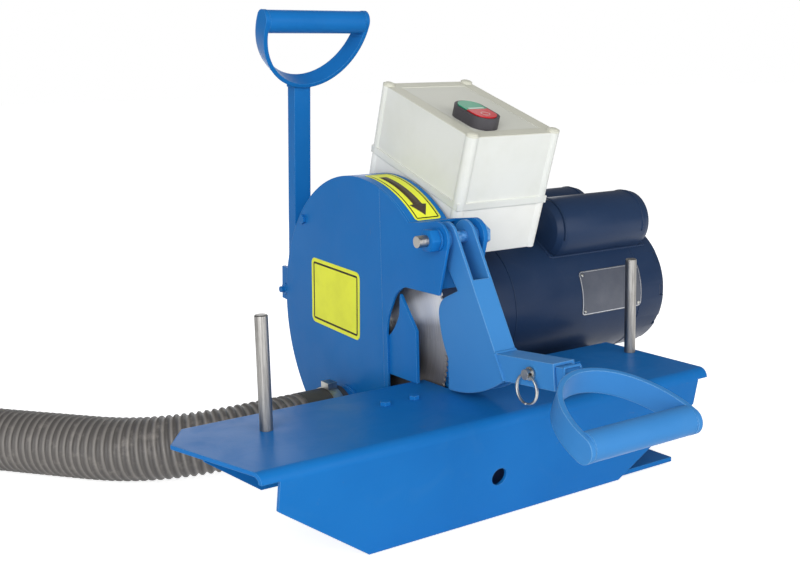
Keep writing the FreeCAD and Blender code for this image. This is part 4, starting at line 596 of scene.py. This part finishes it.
def plateForm(width, height, corner, margin, line, thick):
    form = bmesh.new()
    corners = [form.verts.new((x * width / 2, y * height / 2, 0))
               for x, y in ((-1, -1), (1, -1), (1, 1), (-1, 1))]
    form.faces.new(corners)
    form.normal_update()
    bevelled(form, corners, "VERTICES", corner, 6)
    thickened(form, thick)
    top = max(form.faces, key=lambda item: item.calc_area() * item.normal.z)
    even = {"depth": 0, "use_boundary": True, "use_even_offset": True}
    bmesh.ops.inset_region(form, faces=[top], thickness=margin, **even)
    ring = bmesh.ops.inset_region(form, faces=[top], thickness=line, **even)["faces"]
    for item in ring:
        item.material_index = 1
    return form


def rectangleAt(form, centre, right, up):
    out = Vector(right).cross(Vector(up))
    turn = Matrix((right, up, out)).transposed().to_4x4()
    form.transform(Matrix.Translation(centre) @ turn)


sliceShift = 0.0001  # keeps the cuts off a form's own points


# Cuts a flat form across its x direction, so that it can bend
def sliced(form, spacing):
    reach = max(abs(vertex.co.x) for vertex in form.verts)
    steps = int(reach / spacing)
    for step in range(-steps, steps + 1):
        geometry = form.verts[:] + form.edges[:] + form.faces[:]
        bmesh.ops.bisect_plane(form, geom=geometry, plane_co=(step * spacing + sliceShift, 0, 0),
                               plane_no=(1, 0, 0), dist=tolerance)


# Rolls a flat form round an axis along x: its x runs round, its y along the axis, its z outwards
def wrapped(form, axis, radius, angle, side):
    for vertex in form.verts:
        turn = math.radians(angle) + vertex.co.x / radius
        reach = radius + vertex.co.z
        vertex.co = axis + Vector((side + vertex.co.y, reach * math.cos(turn), reach * math.sin(turn)))
    bmesh.ops.recalc_face_normals(form, faces=form.faces)


# What plateForm takes, in metres
def plateSizes(size, *names):
    return [size[name] / 1000 for name in (*names, "corner", "margin", "line", "thick")]


# Bare yellow panel on the guard's cheek
coverPanel = {"width": 110.0, "height": 79.0, "corner": 7.5, "margin": 4.4, "line": 2.4, "thick": 0.3,
              "centre": (307.0, 180.0), "fall": -3.0}


def makeCoverPanel():
    size = coverPanel
    form = plateForm(*plateSizes(size, "width", "height"))
    centre = at(0, *size["centre"])
    centre.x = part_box("guard_rear_cover")[0][0]
    fall = math.radians(size["fall"])
    right = (0, -math.cos(fall), math.sin(fall))
    up = (0, math.sin(fall), math.cos(fall))
    rectangleAt(form, centre, right, up)
    paint(newPiece("coverPanel", form, "base", smooth=False), "panel_yellow", "panel_line")
    print("cover panel made")


# Printed films: colour, shade, coat and shine
films = {"panel_yellow": ((242, 247, 56), (231, 236, 50), 0.1, 0.3),
         "panel_line": ((26, 20, 12), (38, 30, 20), 0.0, 0.15),
         "arrow_brown": ((66, 53, 43), (80, 66, 53), 0.1, 0.3),
         "mark_white": ((226, 228, 224), (206, 210, 206), 0.3, 0.5),
         "plate_grey": ((72, 78, 92), (86, 90, 102), 0.3, 0.5)}


def makePanelFinishes():
    for name, (colour, shade, coat, shine) in films.items():
        finish = Finish(name, Metallic=0.0, Coat_Weight=coat, Coat_Roughness=0.2, Specular_IOR_Level=shine)
        clouds = finish.noise(30.0, 4.0, 0.6)
        wear = finish.noise(300.0, 5.0, 0.7)
        tone = finish.blend(clouds.fade(0.35, 0.75), linear(*colour), linear(*shade))
        finish.set(Base_Color=tone, Roughness=0.4 + wear * 0.15, Normal=finish.bump(wear, 0.00004, 0.4))
        finishes[name] = finish.material
    border = {"light": (210, 212, 216), "stain": 0.3, "stainColour": (130, 132, 140), "depth": 0.00004,
              "edge": 0.0003}
    makeSteel("plate_silver", (176, 180, 188), 0.34, (1.0, 1.0, 1.0), border)


makePanelFinishes()
makeCoverPanel()


# Yellow strip on the guard's rim, with the turning arrow: its points run along the strip and across it

rimStrip = {"radius": 168.0, "lift": 0.1, "start": 93.0, "end": 131.0, "left": -13.0, "right": 20.0,
            "corner": 4.0, "margin": 2.3, "line": 1.5, "thick": 0.25, "slice": 5.0,
            "arrow": [(18, -4.2), (87, -3.0), (87.5, -8.2), (105, 2.6), (87.5, 13.2), (87, 8.2), (18, 5.4)]}


def makeRimStrip():
    size = rimStrip
    lift = size["lift"] / 1000
    radius = size["radius"] / 1000 + lift
    length = math.radians(size["end"] - size["start"]) * radius
    form = plateForm(length, (size["right"] - size["left"]) / 1000, *plateSizes(size))
    sliced(form, size["slice"] / 1000)
    axis = at(0, bladeAxis["y"], bladeAxis["z"])
    middle = (size["start"] + size["end"]) / 2
    wrapped(form, axis, radius, middle, (size["left"] + size["right"]) / 2000)
    paint(newPiece("rimStrip", form, "base"), "panel_yellow", "panel_line")
    form = bmesh.new()
    corners = [form.verts.new((reach / 1000 - length / 2, across / 1000, 0))
               for reach, across in size["arrow"]]
    form.faces.new(corners)
    form.normal_update()
    thickened(form, size["thick"] / 1000)
    sliced(form, size["slice"] / 1000)
    wrapped(form, axis, radius + lift, middle, 0)
    paint(newPiece("turningArrow", form, "base"), "arrow_brown")
    print("rim strip and arrow made")


makeRimStrip()


# Bare rating plate on the motor, with four rivets

motorPlate = {"radius": 82.5, "x": 297.0, "angle": 172.0, "height": 55.0, "width": 100.0, "corner": 5.0,
              "margin": 0.9, "line": 0.9, "thick": 0.5, "slice": 4.0, "rivet": 2.3, "rivetRise": 1.1,
              "rivetInset": 5.0}


def makeMotorPlate():
    size = motorPlate
    radius = size["radius"] / 1000
    axis = at(size["x"], bladeAxis["y"], bladeAxis["z"])
    form = plateForm(*plateSizes(size, "height", "width"))
    sliced(form, size["slice"] / 1000)
    wrapped(form, axis, radius, size["angle"], 0)
    paint(newPiece("motorPlate", form, "base"), "plate_grey", "plate_silver")
    rivets = bmesh.new()
    for end in (-1, 1):
        for side in (-1, 1):
            rivet = bmesh.ops.create_uvsphere(rivets, u_segments=14, v_segments=8,
                                              radius=size["rivet"] / 1000)
            flat = Matrix.Diagonal((1, 1, size["rivetRise"] / size["rivet"], 1))
            place = Vector((end * (size["height"] / 2 - size["rivetInset"]) / 1000,
                            side * (size["width"] / 2 - size["rivetInset"]) / 1000, size["thick"] / 1000))
            bmesh.ops.transform(rivets, verts=rivet["verts"], matrix=Matrix.Translation(place) @ flat)
    wrapped(rivets, axis, radius, size["angle"], 0)
    paint(newPiece("plateRivets", rivets, "base"), "zinc_steel")
    print("motor plate made")


makeMotorPlate()


# Push-button box

def onLid(form, x, y, z):
    tilt = Matrix.Rotation(math.radians(lidFrame["tilt"]), 4, "X")
    home = Matrix.Translation(at(*lidFrame["place"])) @ tilt
    form.transform(home @ Matrix.Translation(Vector((x, y, z)) / 1000))


# A ring on the stop button and a bar on the start button
buttonMarks = {"ringRadius": 4.5, "ringWidth": 0.6, "rise": 0.12, "reach": 15.0, "barWidth": 20.0,
               "barDepth": 2.6, "barShift": 2.2, "barCorner": 0.9, "steps": 40}


# Turns a profile of points and pairs of points right round an upright axis
def turned(form, points, pairs, centre, steps):
    edges = [form.edges.new(pair) for pair in pairs]
    bmesh.ops.spin(form, geom=points + edges, cent=centre, axis=(0, 0, 1), angle=2 * math.pi, steps=steps,
                   use_merge=True)


def makeButtonMarks():
    size = buttonMarks
    x, y = lidFrame["bezel"]
    form = bmesh.new()
    inner, outer = size["ringRadius"] / 1000, (size["ringRadius"] + size["ringWidth"]) / 1000
    rise = size["rise"] / 1000
    points = [form.verts.new(place)
              for place in ((inner, 0, 0), (outer, 0, 0), (outer, 0, rise), (inner, 0, rise))]
    turned(form, points, [*zip(points, points[1:]), (points[-1], points[0])], (0, 0, 0), size["steps"])
    bmesh.ops.recalc_face_normals(form, faces=form.faces)
    onLid(form, x, y - size["reach"], lidFrame["capTop"])
    paint(newPiece("stopRing", form, "stop_button"), "mark_white")
    form = bmesh.new()
    bmesh.ops.create_grid(form, x_segments=1, y_segments=1, size=0.0005)  # one millimetre square
    bmesh.ops.scale(form, verts=form.verts, vec=(size["barWidth"], size["barDepth"], 1))
    bevelled(form, form.verts[:], "VERTICES", size["barCorner"] / 1000, 5)
    thickened(form, rise)
    onLid(form, x, y + size["barShift"], lidFrame["capTop"])
    paint(newPiece("startBar", form, "start_button", smooth=False), "mark_white")
    print("button marks made")


makeButtonMarks()


# Domed caps over the lid's four screws
lidCaps = {"profile": [(0.0, 1.7), (2.5, 1.6), (4.4, 1.25), (5.7, 0.7), (6.3, 0.0)], "steps": 28}


def makeLidCaps():
    form = bmesh.new()
    for x in (lidFrame["postInset"], lidFrame["width"] - lidFrame["postInset"]):
        for y in (lidFrame["postInset"], lidFrame["length"] - lidFrame["postInset"]):
            points = [form.verts.new((x / 1000 + out / 1000, y / 1000, up / 1000))
                      for out, up in lidCaps["profile"]]
            turned(form, points, [*zip(points, points[1:])], (x / 1000, y / 1000, 0), lidCaps["steps"])
    bmesh.ops.remove_doubles(form, verts=form.verts, dist=tolerance)
    bmesh.ops.recalc_face_normals(form, faces=form.faces)
    onLid(form, 0, 0, lidFrame["postRise"])
    paint(newPiece("lidCaps", form, "base"), "box_plastic")
    print("lid caps made")


makeLidCaps()


# Weld beads: a lumpy rod laid along a line of points. Each lump has a few rings of points.
bead = {"sides": 10, "rings": 4}


def makeBead(name, points, radius, body, finish, lump=0.22, spacing=2.6, toward=(0, 0, 1), closed=False):
    path = [at(*place) for place in points]
    if closed:
        path.append(path[0].copy())
    total = sum((b - a).length for a, b in zip(path, path[1:]))
    steps = bead["rings"] * max(int(total / (spacing / 1000)), 2)
    form = bmesh.new()
    bmesh.ops.create_circle(form, cap_ends=False, radius=radius / 1000, segments=bead["sides"])
    ring = form.edges[:]
    for step in range(1, steps + 1):
        made = bmesh.ops.extrude_edge_only(form, edges=ring)["geom"]
        ring = [item for item in made if isinstance(item, bmesh.types.BMEdge)]
        ends = [item for item in made if isinstance(item, bmesh.types.BMVert)]
        swell = 1 + lump * math.sin(step * math.pi / 2)
        before = 1 + lump * math.sin((step - 1) * math.pi / 2)
        bmesh.ops.scale(form, verts=ends, vec=(swell / before, swell / before, 1))
        bmesh.ops.translate(form, verts=ends, vec=(0, 0, total / steps))
        ring = [edge for edge in ring if all(vertex in ends for vertex in edge.verts)]
    if not closed:
        bmesh.ops.holes_fill(form, edges=form.edges, sides=bead["sides"])
    for vertex in form.verts:
        place, ahead = along(path, vertex.co.z)
        side = Vector(toward).cross(ahead).normalized()
        vertex.co = place + side * vertex.co.x + ahead.cross(side) * vertex.co.y
    bmesh.ops.remove_doubles(form, verts=form.verts, dist=tolerance)
    bmesh.ops.recalc_face_normals(form, faces=form.faces)
    return paint(newPiece(name, form, body), finish)


# Points on an arc about an axis along x
def arcPoints(x, centre, radius, first, last, count):
    turns = [math.radians(first + (last - first) * step / (count - 1)) for step in range(count)]
    return [(x, centre[0] + radius * math.cos(turn), centre[1] + radius * math.sin(turn)) for turn in turns]


# The pivot's nut and washers: chamfered and thick with paint
pivotNut = {"y": 99.0, "z": 271.0, "start": -26.0, "corner": 12.6, "thick": 11.5, "sides": 6, "bevel": 1.5,
            "washer": 12.0, "washerThick": 2.0, "washerSides": 32, "washerBevel": 0.5, "farWasher": 26.0}


def makePivotNut():
    size = pivotNut
    form = bmesh.new()
    lie = Matrix.Rotation(math.radians(90), 4, "Y")
    washer = (size["washer"], size["washerThick"], size["washerSides"], size["washerBevel"])
    rings = ((size["start"] - size["thick"] / 2, size["corner"], size["thick"], size["sides"], size["bevel"]),
             (size["start"] + size["washerThick"] / 2, *washer),
             (size["farWasher"] + size["washerThick"] / 2, *washer))
    for x, radius, thick, sides, bevel in rings:
        made = bmesh.ops.create_cone(form, cap_ends=True, segments=sides, radius1=radius / 1000,
                                     radius2=radius / 1000, depth=thick / 1000)["verts"]
        place = Matrix.Translation(at(x, size["y"], size["z"]))
        bmesh.ops.transform(form, verts=made, matrix=place @ lie)
        edges = list(dict.fromkeys(edge for vertex in made for edge in vertex.link_edges))
        bevelled(form, edges, "EDGES", bevel / 1000, 3)
    bmesh.ops.recalc_face_normals(form, faces=form.faces)
    nut = newPiece("pivotNutSet", form, "base")
    smoothPiece(nut)
    paint(nut, "blue_paint")
    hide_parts("pivot_nut")
    print("pivot nut made")


makePivotNut()


# Seams where the capacitor cover meets the shell, and where the shell meets its bells
capSeam = {"front": 215.0, "back": 372.0, "outer": (202.05, 213.7), "bead": 1.7, "from": 136.6, "to": 91.8,
           "count": 12, "toward": (0.3, -1, 0.4)}
motorSeams = {"places": (144.0, 345.0), "radius": 82.5, "bead": 0.7, "to": 355, "count": 72}


def makeMotorSeams():
    axis = (bladeAxis["y"], bladeAxis["z"])
    size = capSeam
    side = [(x, *size["outer"]) for x in (size["back"], size["front"])]
    skirt = arcPoints(size["front"], axis, motorSeams["radius"], size["from"], size["to"], size["count"])
    makeBead("capacitorSeam", side + skirt, size["bead"], "base", "navy_paint", lump=0.12, spacing=4.0,
             toward=size["toward"])
    for index, x in enumerate(motorSeams["places"]):
        ring = arcPoints(x, axis, motorSeams["radius"], 0, motorSeams["to"], motorSeams["count"])
        makeBead("bellSeam%d" % (index + 1), ring, motorSeams["bead"], "base", "navy_paint", lump=0.0,
                 spacing=8.0, toward=(1, 0, 0), closed=True)
    print("motor seams made")


makeMotorSeams()


# Rolled bands near both ends of each capacitor cover
# Being thin, they are all edge and take the navy paint's lighter edge colour: painted highlight lines.
capBands = {"start": {"places": (224.0, 352.0), "centre": (222.0, 246.0), "radius": 37.9},
            "run": {"places": (231.0, 334.0), "centre": (302.0, 246.0), "radius": 37.9}}
capBand = {"from": -12.0, "to": 196.0, "bead": 0.9, "count": 48}


def makeCapBands():
    for name, cap in capBands.items():
        for index, x in enumerate(cap["places"]):
            reach = (capBand["from"], capBand["to"], capBand["count"])
            arc = arcPoints(x, cap["centre"], cap["radius"], *reach)
            makeBead("%sCapBand%d" % (name, index + 1), arc, capBand["bead"], "base", "navy_paint", lump=0.0,
                     spacing=8.0, toward=(1, 0, 0))
    print("cover bands made")


makeCapBands()


# Welds where the press arm meets its socket, and where each handle's bow meets its bar
jointWelds = {
    "socketWeld": {"side": 12.9, "first": (8.3, 143.0), "second": (21.9, 167.4), "radius": 1.7,
                   "face": (0, -0.873, 0.487), "body": "press_arm", "finish": "arm_paint"},
    "leverWeld": {"side": 9.7, "first": (-74.6, 153.1), "second": (-73.0, 172.2), "radius": 1.4,
                  "face": (0, -1, 0.084), "body": "press_arm", "finish": "arm_paint"},
    "tallWeld": {"side": 11.2, "first": (410.5, 423.9), "second": (427.7, 425.2), "radius": 1.5,
                 "face": (0, 0.08, 1), "body": "base", "finish": "blue_paint"},
}


def makeJointWelds():
    for name, size in jointWelds.items():
        corners = [(-1, "first"), (-1, "second"), (1, "second"), (1, "first")]
        loop = [(way * size["side"], *size[key]) for way, key in corners]
        makeBead(name, loop, size["radius"], size["body"], size["finish"], toward=size["face"], closed=True)
    print("joint welds made")


# Welds round both ends of each grip, where its bow's strap covers it
gripWelds = {"tall": {"end": 64.0, "y": 375.3, "z": 498.2, "body": "base", "finish": "blue_paint"},
             "lever": {"end": 59.6, "y": -153.7, "z": 130.8, "body": "press_arm", "finish": "arm_paint"}}
gripWeld = {"reach": 12.4, "radius": 1.15, "to": 352.5, "count": 48}


def makeGripWelds():
    for name, grip in gripWelds.items():
        for side in (-1, 1):
            ring = arcPoints(side * grip["end"], (grip["y"], grip["z"]), gripWeld["reach"], 0,
                             gripWeld["to"], gripWeld["count"])
            makeBead("%sGripWeld%s" % (name, "Left" if side < 0 else "Right"), ring, gripWeld["radius"],
                     grip["body"], grip["finish"], lump=0.12, spacing=3.0, toward=(1, 0, 0), closed=True)
    print("grip welds made")


makeJointWelds()
makeGripWelds()


# Pull ring: a split ring of two turns of wire
splitRing = {"place": (-18.0, -31.25, 145.05), "radius": 14.0, "wire": 1.0, "shift": 1.06, "turns": 1.96,
             "count": 120}


def makeSplitRing():
    size = splitRing
    x, y, z = size["place"]
    points = []
    for step in range(size["count"] + 1):
        part = step / size["count"]
        turn = math.radians(-90 + 360 * size["turns"] * part)
        points.append((x + size["shift"] * (2 * part - 1), y + size["radius"] * math.cos(turn),
                       z + size["radius"] * math.sin(turn)))
    ring = makeBead("splitRing", points, size["wire"], "pin_ring", "zinc_steel", lump=0.0, spacing=5.0,
                    toward=(1, 0, 0))
    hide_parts("pull_ring")
    print("split ring made")


makeSplitRing()


# Floor, backdrop and light

# soft: how strongly the white surroundings light matt faces; gloss: how strongly they mirror in shiny ones
studio = {"soft": 0.36, "gloss": 0.2, "floorSize": 30.0, "floorDrop": 0.0002, "glow": 0.76, "rough": 0.9,
          "dark": (0.8, 0.8, 0.8, 1.0), "pale": (0.84, 0.84, 0.84, 1.0)}


def makeStage():
    form = bmesh.new()
    bmesh.ops.create_grid(form, x_segments=1, y_segments=1, size=studio["floorSize"])
    mesh = bpy.data.meshes.new("floor")
    form.to_mesh(mesh)
    form.free()
    floor = bpy.data.objects.new("floor", mesh)
    floor.location = (0, 0, cadBox[0][2] - studio["floorDrop"])
    bpy.context.scene.collection.objects.link(floor)
    finish = Finish("paleFloor", Roughness=studio["rough"])
    speckle = finish.noise(3.0, 2.0, 0.5)
    finish.set(Base_Color=finish.blend(speckle, studio["dark"], studio["pale"]))
    seen, mirrored, through = [finish.add("LightPath", output="Is %s Ray" % kind)
                               for kind in ("Camera", "Glossy", "Transmission")]
    finish.set(Emission_Color=finish.blend((seen + mirrored + through).capped(), (0, 0, 0, 1), (1, 1, 1, 1)),
               Emission_Strength=studio["glow"])
    floor.data.materials.append(finish.material)
    print("floor laid")


# The world's strength is 1 to the camera, soft on matt faces and gloss in mirrors
def makeWorld():
    world = bpy.data.worlds.new("studio")
    bpy.context.scene.world = world
    world.use_nodes = True
    tree = world.node_tree
    ground = tree.nodes["Background"]
    ground.inputs["Color"].default_value = (1, 1, 1, 1)
    light = tree.nodes.new("ShaderNodeLightPath")
    seen, mirrored = [tree.nodes.new("ShaderNodeMath") for output in range(2)]
    for step, output, gain in ((seen, "Is Camera Ray", 1.0 - studio["soft"]),
                               (mirrored, "Is Glossy Ray", studio["gloss"] - studio["soft"])):
        step.operation = "MULTIPLY_ADD"
        step.inputs[1].default_value = gain
        tree.links.new(light.outputs[output], step.inputs[0])
    seen.inputs[2].default_value = studio["soft"]
    tree.links.new(seen.outputs[0], mirrored.inputs[2])
    tree.links.new(mirrored.outputs[0], ground.inputs["Strength"])
    print("world lit")


lamps = {
    "key": {"place": (-1850, -1550, 700), "aim": (0, 150, 120), "size": 2.2, "power": 61.0},
    "side": {"place": (900, -2300, 850), "aim": (50, 150, 120), "size": 1.8, "power": 24.0},
    "back": {"place": (900, 2000, 900), "aim": (0, 200, 150), "size": 1.4, "power": 10.0},
}


def makeLamps():
    for name, lamp in lamps.items():
        data = bpy.data.lights.new(name, "AREA")
        data.shape = "SQUARE"
        data.size = lamp["size"]
        data.energy = lamp["power"]
        place, aim = at(*lamp["place"]), at(*lamp["aim"])
        item = bpy.data.objects.new(name, data)
        turn = (place - aim).to_track_quat("Z", "Y").to_matrix().to_4x4()
        item.matrix_world = Matrix.Translation(place) @ turn
        bpy.context.scene.collection.objects.link(item)
    print("lamps set:", len(lamps))


makeStage()
makeWorld()
makeLamps()
bpy.context.scene.view_settings.view_transform = "Standard"

bpy.context.view_layer.update()
